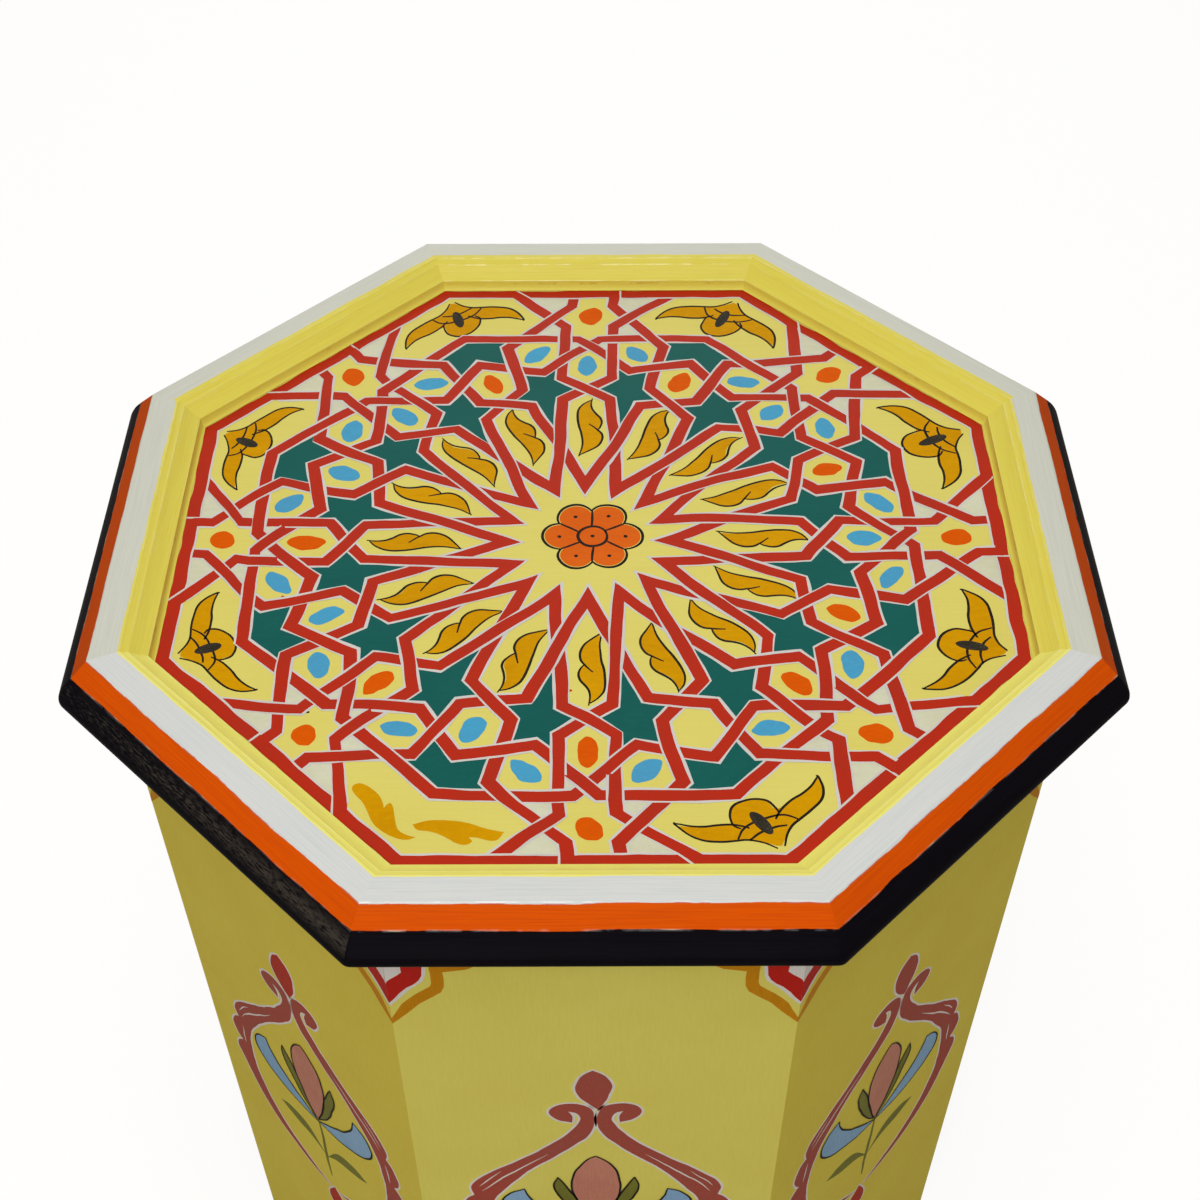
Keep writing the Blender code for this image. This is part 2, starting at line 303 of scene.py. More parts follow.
swag_paint = enamel("red_panel_enamel", "#BE1A10 #B02018 #C43024", UP_PANEL, 0.46, 1.4)
panel_ochre = enamel("ochre_panel_enamel", "#CC8804 #BE7C02 #D39414", UP_PANEL, 0.45, 1.4)
panel_blue = enamel("blue_panel_enamel", "#8FB2D2 #7FA4C8 #A5C0D8", UP_PANEL, 0.45, 1.4)
panel_olive = enamel("olive_panel_enamel", "#7C7A2E #6B6A26 #8F8C45", UP_PANEL, 0.45, 1.4)
panel_pink = enamel("pink_panel_enamel", "#C98672 #BC7864 #D49A86", UP_PANEL, 0.45, 1.4)
panel_white = enamel("white_panel_enamel", "#E2DCD6 #D6CEC8 #E8E4DE", UP_PANEL, 0.45, 1.4)
print(len(bpy.data.materials), "materials so far")

# %% [markdown]
# ## One tree that lays all the paint
#
# A painter repeats a motif round the table, and each repeat comes out a little different. One Geometry
# Nodes tree does the same to any flat motif: it turns copies of it round the table, merges the seams,
# lets the points slip as an unsteady hand would, and gives the coat its thickness. The slip is read from
# the place on the table, so every layer slips alike and stays inside its neighbour. Near the border the
# slip fades out, because the border was ruled along the rim.

# %% The paint layer tree
SEAM_MERGE = 0.004 * MM
COAT_MERGE = 0.002 * MM
PAINT_LAYER = bpy.data.node_groups.new("paint_layer", "GeometryNodeTree")
PAINT_LAYER.interface.new_socket("Geometry", in_out="OUTPUT", socket_type="NodeSocketGeometry")
LENGTHS = ("Thickness", "Slip", "Slip spacing", "Edge wobble", "Edge spacing", "Calm reach", "Fade width")
SOCKETS = {
    "Geometry": ("Motif",),
    "Int": ("Copies",),
    "Float": ("First turn", "Step", *LENGTHS, "Seed", "Edge seed"),
    "Vector": ("Drift",),
    "Material": ("Paint",),
}
PAINT_INPUTS = {}
for kind, names in SOCKETS.items():
    for name in names:
        made = PAINT_LAYER.interface.new_socket(name, in_out="INPUT", socket_type="NodeSocket" + kind)
        PAINT_INPUTS[name] = made.identifier


def build_paint_layer(tree):
    add = partial(add_node, tree)
    given = add("NodeGroupInput").outputs
    # Copies of the motif, turned about the table's axis.
    spots = add("GeometryNodePoints", {"Count": given["Copies"]})
    index = add("GeometryNodeInputIndex")
    angle = add(MATH, (index, given["Step"], given["First turn"]), operation="MULTIPLY_ADD")
    turn = add("FunctionNodeAxisAngleToRotation", {"Axis": (0.0, 0.0, 1.0), "Angle": angle})
    ring = add("GeometryNodeInstanceOnPoints", {
        "Points": spots, "Instance": given["Motif"], "Rotation": turn,
    })
    real = add("GeometryNodeRealizeInstances", (ring,))
    whole = add("GeometryNodeMergeByDistance", {"Geometry": real, "Distance": SEAM_MERGE})
    # How free the hand is: 1 in the middle, and 0 from the calm reach outwards.
    place = add("GeometryNodeInputPosition")
    size = add(VECTOR_MATH, (place,), operation="ABSOLUTE")
    axes = add("ShaderNodeSeparateXYZ", (size,)).outputs
    slant = add(MATH, (axes["X"], axes["Y"]), operation="ADD")
    slant = add(MATH, (slant, math.sqrt(0.5)), operation="MULTIPLY")
    reach = add(MATH, (axes["X"], axes["Y"]), operation="MAXIMUM")
    reach = add(MATH, (reach, slant), operation="MAXIMUM")
    left = add(MATH, (given["Calm reach"], reach), operation="SUBTRACT")
    fade = add(MATH, (left, given["Fade width"]), operation="DIVIDE", use_clamp=True)
    # The slow slip of the layout and the quick wobble of an edge.
    moves = []
    for amount, spacing, seed in (
        ("Slip", "Slip spacing", "Seed"),
        ("Edge wobble", "Edge spacing", "Edge seed"),
    ):
        scale = add(MATH, (1.0, given[spacing]), operation="DIVIDE")
        waver = add(NOISE, {
            "Vector": place, "W": given[seed], "Scale": scale, "Detail": 1.0,
        }, noise_dimensions="4D")
        centred = add(VECTOR_MATH, (waver.outputs["Color"], (0.5, 0.5, 0.5)), operation="SUBTRACT")
        moves.append(add(VECTOR_MATH, (centred, given[amount]), operation="SCALE"))
    layout = add(VECTOR_MATH, (moves[0], given["Drift"]), operation="ADD")
    layout = add(VECTOR_MATH, (layout, fade), operation="SCALE")
    offset = add(VECTOR_MATH, (layout, moves[1]), operation="ADD")
    # Only the part of the move that lies in the painted face.
    facing = add("GeometryNodeInputNormal")
    rise = add(VECTOR_MATH, (offset, facing), operation="DOT_PRODUCT")
    lifted = add(VECTOR_MATH, (facing, rise), operation="SCALE")
    inside = add(VECTOR_MATH, (offset, lifted), operation="SUBTRACT")
    drawn = add("GeometryNodeSetPosition", {"Geometry": whole, "Offset": inside})
    # The coat's thickness: a raised copy, its walls, and the first faces turned over as its back.
    raised = add("GeometryNodeExtrudeMesh", {
        "Mesh": drawn, "Offset Scale": given["Thickness"], "Individual": False,
    }, mode="FACES")
    back = add("GeometryNodeFlipFaces", {"Mesh": drawn})
    both = add("GeometryNodeJoinGeometry", {"Geometry": [raised, back]})
    closed = add("GeometryNodeMergeByDistance", {"Geometry": both, "Distance": COAT_MERGE})
    painted = add("GeometryNodeSetMaterial", {"Geometry": closed, "Material": given["Paint"]})
    add("NodeGroupOutput", (painted,))


build_paint_layer(PAINT_LAYER)
print("paint layer tree:", len(PAINT_LAYER.nodes), "nodes")

# %% [markdown]
# ## Flat motifs
#
# A motif collects flat shapes of one paint before they are repeated: areas with an outline, and ribbons
# between two edges. A place function then sets the flat motif on the board or on the front panel. Round
# shapes come from a few points with a smooth curve through them, as a brush would draw them, and a list
# of stretches keeps the sharp tips between them.

# %% Motif helpers
class Motif:
    """Flat shapes of one paint, as points (across, up, lift) and faces with their brush map."""

    def __init__(self):
        self.points = []
        self.faces = []
        self.brush = []

    def area(self, outline, lift=0.0):
        spread = sum(a[0] * b[1] - b[0] * a[1] for a, b in zip(outline, [*outline[1:], outline[0]]))
        outline = outline if spread > 0 else outline[::-1]
        start = len(self.points)
        self.points += [(p[0], p[1], lift) for p in outline]
        self.faces.append(list(range(start, start + len(outline))))
        self.brush += [(p[0], p[1]) for p in outline]

    def ribbon(self, left, right, runs, width):
        """Quads between two edges of (across, up, lift) points, with runs as the way along."""
        start = len(self.points)
        for pair in zip(left, right):
            self.points += [tuple(point) for point in pair]
        for step in range(len(runs) - 1):
            first = start + 2 * step
            self.faces.append([first + 1, first + 3, first + 2, first])
            near, far = runs[step], runs[step + 1]
            self.brush += [(near, 0.0), (far, 0.0), (far, width), (near, width)]


def on_board(a, b, lift):
    return (a, b, BOARD_TOP + lift)


def on_front_panel(a, b, lift):
    return (a, -BODY_REACH - lift, b)


def turned(points, angle):
    c, s = math.cos(angle), math.sin(angle)
    return [Vector((c * p[0] - s * p[1], s * p[0] + c * p[1])) for p in points]


def mirrored(points):
    return [Vector((p[0], -p[1])) for p in points]


def in_metres(points):
    return [Vector((p[0] * MM, p[1] * MM)) for p in points]


def smooth(points, steps=6):
    """A smooth curve through all the points of one stretch."""
    points = [Vector(p) for p in points]
    guides = [2 * points[0] - points[1], *points, 2 * points[-1] - points[-2]]
    curve = []
    for before, start, end, after in zip(guides, guides[1:], guides[2:], guides[3:]):
        for step in range(steps):
            t = step / steps
            pull = (end - before) * t + (2 * before - 5 * start + 4 * end - after) * t**2
            pull += (3 * start - before - 3 * end + after) * t**3
            curve.append(start + pull / 2)
    return [*curve, points[-1]]


def sharp_outline(*stretches):
    """A closed outline of smooth stretches that meet in sharp points."""
    return [point for stretch in stretches for point in smooth(stretch)[:-1]]


def brush_line(motif, path, width, lift=0.0, taper=0.6):
    """A brushed line: thinner towards both ends, as the brush lands and leaves."""
    count = len(path)
    run = 0.0
    left, right, runs = [], [], []
    for i, point in enumerate(path):
        ahead = path[min(i + 1, count - 1)] - path[max(i - 1, 0)]
        normal = Vector((-ahead.y, ahead.x)).normalized()
        swell = 1 - taper * (1 - math.sin(math.pi * i / (count - 1)))
        run += (point - path[i - 1]).length if i else 0.0
        left.append((*(point + normal * width * swell / 2), lift))
        right.append((*(point - normal * width * swell / 2), lift))
        runs.append(run)
    motif.ribbon(left, right, runs, width)

# %% [markdown]
# A finished layer is evaluated, turned to a plain mesh, freed of its modifier and told which body it
# rides on. The hand's slip is the same for the whole board; the panels have only the wobble of an edge.

# %% Laying and settling a piece
BOARD_HAND = {
    "Slip": 9.7 * MM,
    "Slip spacing": 62 * MM,
    "Edge wobble": 1.9 * MM,
    "Edge spacing": 17 * MM,
    "Calm reach": 181.5 * MM,
    "Fade width": 30 * MM,
    "Drift": (-3.5 * MM, -2.4 * MM, 0.0),
    "Seed": 94.0,
    "Edge seed": 5.0,
}
PANEL_HAND = {
    "Slip": 0.0,
    "Slip spacing": 60 * MM,
    "Edge wobble": 2.0 * MM,
    "Edge spacing": 12 * MM,
    "Calm reach": 1.0,
    "Fade width": 0.1,
    "Drift": (0.0, 0.0, 0.0),
    "Seed": 8.0,
    "Edge seed": 8.0,
}
# A ground is the painter's hand on it, where it puts a flat point, and its finish slot.
BOARD = (BOARD_HAND, on_board, "board_paint")
PANELS = (PANEL_HAND, on_front_panel, "body_paint")


def settle(obj, slot, *replaced):
    """Turns an object's evaluated shape into its plain mesh and gives it to the frame."""
    bpy.context.view_layer.update()
    graph = bpy.context.evaluated_depsgraph_get()
    mesh = bpy.data.meshes.new_from_object(obj.evaluated_get(graph), depsgraph=graph)
    mesh.name = obj.name
    obj.modifiers.clear()
    obj.data = mesh
    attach(obj, "root")
    if replaced:
        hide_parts(*replaced)
    return obj


def set_brush_map(mesh, brush):
    mesh.uv_layers.new(name="brush").uv.foreach_set("vector", np.array(brush, np.float32).ravel())


def lay_paint(name, motif, paint, ground, thickness, copies=SIDES, first=0.0, step=TURN, **changes):
    hand, place, slot = ground
    mesh = bpy.data.meshes.new(name)
    mesh.from_pydata([place(*point) for point in motif.points], [], motif.faces)
    set_brush_map(mesh, motif.brush)
    obj = add_object(mesh)
    layer = obj.modifiers.new("paint layer", "NODES")
    layer.node_group = PAINT_LAYER
    values = {**hand, **changes, "Copies": copies, "First turn": first, "Step": step}
    values.update({"Thickness": thickness, "Paint": paint})
    for socket_name, value in values.items():
        layer[PAINT_INPUTS[socket_name]] = value
    settle(obj, slot)
    print(name, len(obj.data.polygons), "faces")

# %% [markdown]
# ## The woven star
#
# The board's pattern is a sixteen-pointed star of straps that weave over and under each other, a common
# one on tiles and joinery. One eighth of it holds all there is: a strap from the middle that crosses its
# side's axis, one that crosses its corner's axis, and the two rings that run round them. The bends are
# given in millimetres along and across a side's axis, or a corner's axis for the corner strap.

# %% Strap paths
STRAP_WIDTH = 5.4 * MM
LINE_WIDTH = 1.0 * MM
STAR_TIP = 37.0
SIDE_BENDS = [(100.5, 11.3), (117.5, -12.8), (158.8, -12.0)]
SIDE_SPLAY = math.radians(48)
CORNER_BENDS = [(99.0, 12.3), (113.0, -11.5), (146.0, -17.0)]
BORDER_BEND = (175.5, 10.5)
RING_CORNER = 139.0
RING_SHOULDER = (122.3, 22.6)
RING_CROSSING = (148.8, -5.5)
BORDER_INNER = 182.5
BORDER_OUTER = LIP_REACH / MM - 0.2
BORDER_MIDDLE = (BORDER_INNER + BORDER_OUTER) / 2


def border_end(start, angle):
    """Where a line from a bend at this angle to the side's axis meets the middle of the border."""
    return (BORDER_MIDDLE, start[1] + (BORDER_MIDDLE - start[0]) * math.tan(angle))


side_arm = in_metres([*SIDE_BENDS, border_end(SIDE_BENDS[-1], -SIDE_SPLAY)])
side_tip = turned(in_metres([(STAR_TIP, 0)]), HALF_TURN)
side_strap = [*turned(mirrored(side_arm), TURN)[::-1], *side_tip, *side_arm]
corner_arm = turned(in_metres(CORNER_BENDS), HALF_TURN)
corner_arm += in_metres([BORDER_BEND, (BORDER_MIDDLE, BORDER_BEND[1])])
corner_tip = turned(in_metres([(STAR_TIP, 0)]), TURN)
corner_strap = [*turned(mirrored(corner_arm), 2 * TURN)[::-1], *corner_tip, *corner_arm]
ring_top = turned(in_metres([(RING_CORNER, 0)]), HALF_TURN)
ring_foot = turned(in_metres([(RING_CROSSING[0] / math.cos(HALF_TURN), 0)]), -HALF_TURN)
ring_run = [*ring_top, *in_metres([RING_SHOULDER, RING_CROSSING]), *ring_foot]
ring_back = mirrored(ring_run)
print("points per path:", len(side_strap), len(corner_strap), len(ring_run))

# %% [markdown]
# The weave follows from the crossings: along any strap they go over, under, over, under. So the script
# finds where each path crosses all the others, sorts the crossings along it and alternates. The lift is
# only a coat of paint high, but it is real: the upper strap's pale outline lies on the lower strap's red.

# %% The weave
WEAVE_LIFT = 0.08 * MM
FLAT_RUN = 6.5 * MM
FLAT_SHARE = 0.4
AT_END = 1e-4


def meet(a, b, c, d):
    """Where the line through a and b meets the line through c and d, with the share along each."""
    first, second, between = b - a, d - c, c - a
    turn = first.x * second.y - first.y * second.x
    if abs(turn) < 1e-12:
        return None, -1.0, -1.0
    share = (between.x * second.y - between.y * second.x) / turn
    other = (between.x * first.y - between.y * first.x) / turn
    return a + first * share, share, other


def crossing_runs(path, others):
    runs, run = [], 0.0
    for a, b in zip(path, path[1:]):
        for other in others:
            for c, d in zip(other, other[1:]):
                _, share, far_share = meet(a, b, c, d)
                if all(AT_END < part < 1 - AT_END for part in (share, far_share)):
                    runs.append(run + share * (b - a).length)
        run += (b - a).length
    return sorted(runs), run


def weave_heights(path, others, first_over, start_level, end_level):
    """A function that gives the lift at any way along the path."""
    runs, length = crossing_runs(path, others)
    knots = [(run, WEAVE_LIFT * ((i + first_over) % 2)) for i, run in enumerate(runs)]
    knots = [(0.0, start_level), *knots, (length, end_level)]

    def lift(run):
        run = min(max(run, 0.0), length)
        for (near, low), (far, high) in zip(knots, knots[1:]):
            if near <= run <= far:
                flat = min(FLAT_RUN, FLAT_SHARE * (far - near))
                share = (run - near - flat) / (far - near - 2 * flat)
                return low + (high - low) * min(1.0, max(0.0, share))

    return lift, len(runs)


all_paths = []
for number in range(SIDES):
    for path in (side_strap, corner_strap, ring_run, ring_back):
        all_paths.append(turned(path, number * TURN))
side_lift, side_count = weave_heights(side_strap, all_paths, 0, WEAVE_LIFT, 0.0)
corner_lift, corner_count = weave_heights(corner_strap, all_paths, 0, WEAVE_LIFT, 0.0)
run_lift, run_count = weave_heights(ring_run, all_paths, 0, WEAVE_LIFT / 2, WEAVE_LIFT / 2)
back_lift, back_count = weave_heights(ring_back, all_paths, 1, WEAVE_LIFT / 2, WEAVE_LIFT / 2)
print("crossings:", side_count, corner_count, run_count, back_count)

# %% [markdown]
# A strap is a ribbon of even width whose bends are mitred, so that its points stay sharp. Each strap is
# laid twice: a wider pale coat for its outlines, and the red on top. The rings are cut on the corner axes,
# where the next copy goes on, so their ends are mitred with the neighbour's next point.

# %% Straps
STATION = 3.0 * MM
BORDER_HALF = (BORDER_OUTER - BORDER_INNER) / 2 * MM
PALE_BASE = 0.030 * MM
RED_BASE = 0.055 * MM
COAT = 0.020 * MM


def mitred_edges(path, width):
    """The left and right edge of a band of even width along a path."""
    left, right = [], []
    for i, point in enumerate(path):
        before = (point - path[i - 1]).normalized() if i else None
        after = (path[i + 1] - point).normalized() if i + 1 < len(path) else None
        before = before or after
        after = after or before
        normal = Vector((-before.y, before.x))
        middle = (normal + Vector((-after.y, after.x))).normalized()
        half = middle * width / 2 / middle.dot(normal)
        left.append(point + half)
        right.append(point - half)
    return left, right


def lay_strap(motif, path, width, base, lift, before=None, after=None, run=0.0):
    whole = [point for point in (before, *path, after) if point is not None]
    left, right = mitred_edges(whole, width)
    skip = 0 if before is None else 1
    edges = (left[skip:], right[skip:])
    drawn, runs = ([], []), []
    for i in range(len(path) - 1):
        length = (path[i + 1] - path[i]).length
        along = (path[i + 1] - path[i]) / length
        steps = max(1, math.ceil(length / STATION))
        for step in range(steps):
            for edge, points in zip(edges, drawn):
                point = edge[i].lerp(edge[i + 1], step / steps)
                way = run + ((point - path[i]).dot(along) if step else 0.0)
                points.append((*point, base + lift(way)))
            runs.append(run + length * step / steps)
        run += length
    for edge, points in zip(edges, drawn):
        points.append((*edge[len(path) - 1], base + lift(run)))
    motif.ribbon(*drawn, [*runs, run], width)


def from_border(path):
    """The way a strap takes at its start, and the direction from there straight out over the border."""
    along = (path[1] - path[0]).normalized()
    return along, turned([(1, 0)], round(math.atan2(path[0].y, path[0].x) / TURN) * TURN)[0]


def border_overlap(path):
    """How much of a strap's start lies over the border."""
    along, outward = from_border(path)
    return -BORDER_HALF / along.dot(outward)


def border_tick(motif, path, base):
    """The one pale line that follows a strap's left edge across the border, where the strap runs over it."""
    along, outward = from_border(path)
    aside = Vector((-along.y, along.x))
    tick = []
    for reach, shares in ((BORDER_INNER, (0.0, 1.0)), (BORDER_OUTER, (1.0, 0.0))):
        for share in shares:
            point = path[0] + aside * (STRAP_WIDTH / 2 + share * LINE_WIDTH)
            tick.append(point + along * (reach * MM - point.dot(outward)) / along.dot(outward))
    motif.area(tick, base + WEAVE_LIFT + COAT / 4)


ring_before = turned(mirrored(ring_run[1:2]), TURN)[0]
ring_after = turned(mirrored(ring_run[2:3]), -TURN)[0]
strap_layers = (
    ("strap_outlines", line_white, STRAP_WIDTH + 2 * LINE_WIDTH, PALE_BASE, 3.0),
    ("straps", strap_red, STRAP_WIDTH, RED_BASE, 5.5),
)
for name, paint, width, base, edge_seed in strap_layers:
    motif = Motif()
    for path, lift in ((side_strap, side_lift), (corner_strap, corner_lift)):
        start = 0.0
        if paint is line_white:
            border_tick(motif, path, base)
            start = border_overlap(path)
            path = [path[0] + (path[1] - path[0]).normalized() * start, *path[1:]]
        lay_strap(motif, path, width, base, lift, run=start)
    lay_strap(motif, ring_run, width, base, run_lift, ring_before, ring_after)
    back_before, back_after = mirrored([ring_before, ring_after])
    lay_strap(motif, ring_back, width, base, back_lift, back_before, back_after)
    lay_paint(name, motif, paint, BOARD, COAT, **{"Edge seed": edge_seed})

# %% [markdown]
# The border is one more strap, ruled along the lip of the rim, with an outline on its inner side only.
# Half of the straps run into it from above, and the others end under it, as the weave asks.

# %% Border
BORDER_BASE = 0.085 * MM
BORDER_WOBBLE = {"Edge wobble": 3 * MM, "Slip": 0.0}


def level(run):
    return 0.0


def border_side(reach):
    """The two corners of a side at this reach, and the next corner beyond either end."""
    corner = in_metres([(reach / math.cos(HALF_TURN), 0)])
    before, start, end, after = [turned(corner, HALF_TURN * k)[0] for k in (-3, -1, 1, 3)]
    return [start, end], before, after


border_layers = (
    ("border_outline", line_white, BORDER_INNER - LINE_WIDTH / MM, BORDER_INNER),
    ("border_band", strap_red, BORDER_INNER, BORDER_OUTER),
)
for name, paint, inner, outer in border_layers:
    motif = Motif()
    path, before, after = border_side((inner + outer) / 2)
    lay_strap(motif, path, (outer - inner) * MM, BORDER_BASE, level, before, after)
    lay_paint(name, motif, paint, BOARD, COAT, **BORDER_WOBBLE)

# %% [markdown]
# ## Cells between the straps
#
# The straps divide the board into cells. Some were filled before the straps were painted: sixteen teal
# stars, eight teal chevrons at the corners, and the small white cells near the border. Their corners are
# where straps cross or bend, so the fills reach the middle of each strap and its red hides their edge.

# %% Cell fills
FILL_BASE = -0.010 * MM
FILL_COAT = 0.025 * MM


def crossing(path, i, other, j):
    """Where stretch i of one path crosses stretch j of another."""
    return meet(path[i], path[i + 1], other[j], other[j + 1])[0]


def areas(lift, *outlines):
    """A motif of areas that all lie at one lift."""
    motif = Motif()
    for outline in outlines:
        motif.area(outline, lift)
    return motif


mirror_side = mirrored(side_arm)
mirror_ring = mirrored(ring_run)
corner_twin = turned(mirrored(in_metres(CORNER_BENDS)), HALF_TURN)
from_middle = [*in_metres([(STAR_TIP, 0)]), corner_twin[0]]
side_cross = crossing(side_arm, 0, mirror_side, 0)
corner_cross = crossing(corner_arm, 0, corner_twin, 0)
inner_cross = crossing([*side_tip, side_arm[0]], 0, from_middle, 0)
side_on_ring = crossing(mirror_side, 1, ring_run, 1)
corner_on_ring = crossing(ring_run, 0, corner_arm, 1)
corner_on_foot = crossing(corner_arm, 2, mirror_ring, 2)
side_on_foot = crossing(mirror_side, 1, mirror_ring, 2)
side_on_corner = crossing(mirror_side, 2, corner_arm, 2)
rings_cross = crossing(ring_run, 1, mirror_ring, 1)
star = [
    inner_cross, side_arm[0], side_cross, mirror_side[1], side_on_ring,
    ring_run[1], corner_on_ring, corner_arm[1], corner_cross, corner_twin[0],
]
chevron_half = [ring_run[0], corner_on_ring, corner_arm[2], corner_on_foot, mirror_ring[3]]
chevron_other = turned(mirrored(turned(chevron_half[1:4], -HALF_TURN)), HALF_TURN)
chevron = [*chevron_half, *chevron_other[::-1]]
white_cells = []
for cell in (
    [side_on_foot, mirror_side[2], side_on_corner, corner_on_foot],
    [side_on_corner, corner_arm[3], corner_arm[4], mirror_side[3]],
    [rings_cross, side_on_ring, side_on_foot, mirror_ring[2]],
):
    white_cells += [cell, mirrored(cell)]
teal_motif = areas(FILL_BASE, star, mirrored(star), chevron)
lay_paint("teal_cells", teal_motif, star_teal, BOARD, FILL_COAT)
lay_paint("white_cells", areas(FILL_BASE, *white_cells), cell_white, BOARD, FILL_COAT)

# %% [markdown]
# ## Dots
#
# Each six-sided cell holds one dab of colour, a pointed drop made with two strokes of the brush. The dabs
# are blue on one half of the side axes and orange on the other, and the corner axes do the same, with one
# cell left empty. A run of copies that starts at some angle gives each colour its own part of the ring.

# %% Dots
DROP_POINT = 1.25
DAB_STEPS = 40
LOOSE_EDGE = {"Edge wobble": 3.6 * MM, "Edge spacing": 8 * MM}


def dab(centre, length, width, turn=0.0, point=DROP_POINT):
    """A drop about its own middle. A point of 1 makes it round, and more makes its two ends sharper."""
    outline = []
    for step in range(DAB_STEPS):
        angle = 2 * math.pi * step / DAB_STEPS
        rise = math.copysign(abs(math.sin(angle)) ** point, math.sin(angle))
        outline.append((length / 2 * math.cos(angle), width / 2 * rise))
    return in_metres([Vector(centre) + spot for spot in turned(outline, turn)])


STRAIGHT = math.pi
flank_dab = dab((136.0, 26.0), 16.2, 9.0, math.radians(-50))
side_dab = dab((126.5, 0), 16.4, 9.8)
CORNER_DAB = ((123.5, 0), 15.4, 9.2)
dots = (
    ("flank_dots", (flank_dab, mirrored(flank_dab)), dot_blue, SIDES, 0.0),
    ("side_dots_blue", (side_dab,), dot_blue, 4, 0.0),
    ("side_dots_orange", (side_dab,), dot_orange, 4, STRAIGHT),
    ("corner_dots_orange", (dab(*CORNER_DAB, point=1.1),), dot_orange, 4, -HALF_TURN),
    ("corner_dots_blue", (dab(*CORNER_DAB),), dot_blue, 3, STRAIGHT - HALF_TURN),
    ("border_dots", (dab((167.5, 0), 13.0, 11.4, point=1.0),), dot_orange, SIDES, 0.0),
)
for name, outlines, paint, copies, first in dots:
    lay_paint(name, areas(FILL_BASE, *outlines), paint, BOARD, FILL_COAT, copies, first, **LOOSE_EDGE)

# %% [markdown]
# ## Leaves
#
# Between the points of the star lie sixteen ochre leaves. Each is a dab with a notch on its clockwise
# side, and a thin black line drawn round it afterwards, quickly and not quite on its edge. The ink is a
# coat of its own on top of the ochre.

# %% Petal leaves
INK_BASE = FILL_BASE + FILL_COAT
INK_COAT = 0.015 * MM
INK_WIDTH = 1.15 * MM
OFF_EDGE = {"Edge seed": 6.0}
LEAF_HAND = {"Drift": (-1.8 * MM, -2.3 * MM, 0.0), "Slip": 5 * MM}
leaf_back = [
    (59.2, 4.4), (66.0, 3.8), (74.3, 4.4), (81.0, 5.4), (88.3, 5.9), (93.5, 5.4), (97.7, 3.1), (100.4, -0.3),
]
leaf_inner = [(59.2, 4.4), (61.7, 1.1), (65.4, -3.0), (70.0, -5.0), (74.3, -4.8), (77.4, -3.0)]
leaf_outer = [
    (77.4, -3.0), (79.6, -4.4), (83.1, -5.4), (86.6, -4.8),
    (90.0, -2.6), (93.5, -0.9), (97.7, -0.3), (101.8, -0.9),
]
fill_outer = [
    (77.4, -3.0), (79.6, -4.4), (83.1, -5.2), (86.4, -4.4),
    (89.6, -2.0), (93.2, -0.2), (97.2, 0.0), (100.4, -0.3),
]
leaf_lines = (
    [(57.7, 5.2), *leaf_back[1:]],
    [(58.6, 5.0), *leaf_inner[1:], (79.6, -1.5), (82.3, 0.6)],
    leaf_outer,
)
around = (2 * SIDES, 0.0, HALF_TURN)
leaf = areas(FILL_BASE, in_metres(sharp_outline(leaf_back, fill_outer[::-1], leaf_inner[::-1])))
lay_paint("petal_leaves", leaf, leaf_ochre, BOARD, FILL_COAT, *around, **LEAF_HAND)
ink = Motif()
for line in leaf_lines:
    brush_line(ink, in_metres(smooth(line)), INK_WIDTH, INK_BASE, 0.45)
lay_paint("petal_ink", ink, ink_black, BOARD, INK_COAT, *around, **LEAF_HAND, **OFF_EDGE)

# %% [markdown]
# ## The rosette
#
# In the middle sits a flower of six round petals about a smaller round. Every round has a black outline
# and a black dot. The orange doesn't quite fill the outlines, so slips of the yellow ground show.

# %% Rosette
ROSETTE_HAND = {"Drift": (-0.9 * MM, 0.5 * MM, 0.0), "Slip": 2 * MM}
PETALS = 6
PETAL_STEP = 2 * math.pi / PETALS
PETAL_REACH = 14.4
PETAL_RADIUS = 8.5
HEART_RADIUS = 6.7
PETAL_LINE, SPLIT_LINE, HEART_LINE = 1.4 * MM, 1.2 * MM, 1.55 * MM
OPEN_ARC = math.radians(88)
HEART_LIFT = INK_BASE + INK_COAT
HEART_INK_LIFT = INK_BASE + 2 * INK_COAT


def ring_arc(centre, radius, first, last, steps=28):
    angles = [first + (last - first) * step / steps for step in range(steps + 1)]
    return in_metres([(centre + radius * math.cos(a), radius * math.sin(a)) for a in angles])


def disc(centre, radius, steps=28):
    return ring_arc(centre, radius, 0.0, 2 * math.pi, steps)[:-1]


petal_ink = Motif()
brush_line(petal_ink, ring_arc(PETAL_REACH, PETAL_RADIUS, -OPEN_ARC, OPEN_ARC), PETAL_LINE, INK_BASE, 0.3)
petal_ink.area(disc(PETAL_REACH + 0.8, 0.95, 10), INK_BASE)
split = turned(in_metres([(HEART_RADIUS, 0.3), (11.0, 0.0), (17.4, -0.2)]), PETAL_STEP / 2)
brush_line(petal_ink, smooth(split), SPLIT_LINE, INK_BASE + INK_COAT / 2, 0.3)
heart_ink = Motif()
heart_line = ring_arc(0.0, HEART_RADIUS, 0.4, 2 * math.pi + 0.5)
brush_line(heart_ink, heart_line, HEART_LINE, HEART_INK_LIFT, 0.3)
heart_ink.area(disc(0.0, 1.0, 10), HEART_INK_LIFT)
petal_bed = areas(FILL_BASE, disc(0.0, PETAL_REACH - 1.2))
petal = areas(FILL_BASE, disc(PETAL_REACH - 0.2, PETAL_RADIUS - 0.8))
heart = areas(HEART_LIFT, disc(0.0, HEART_RADIUS))
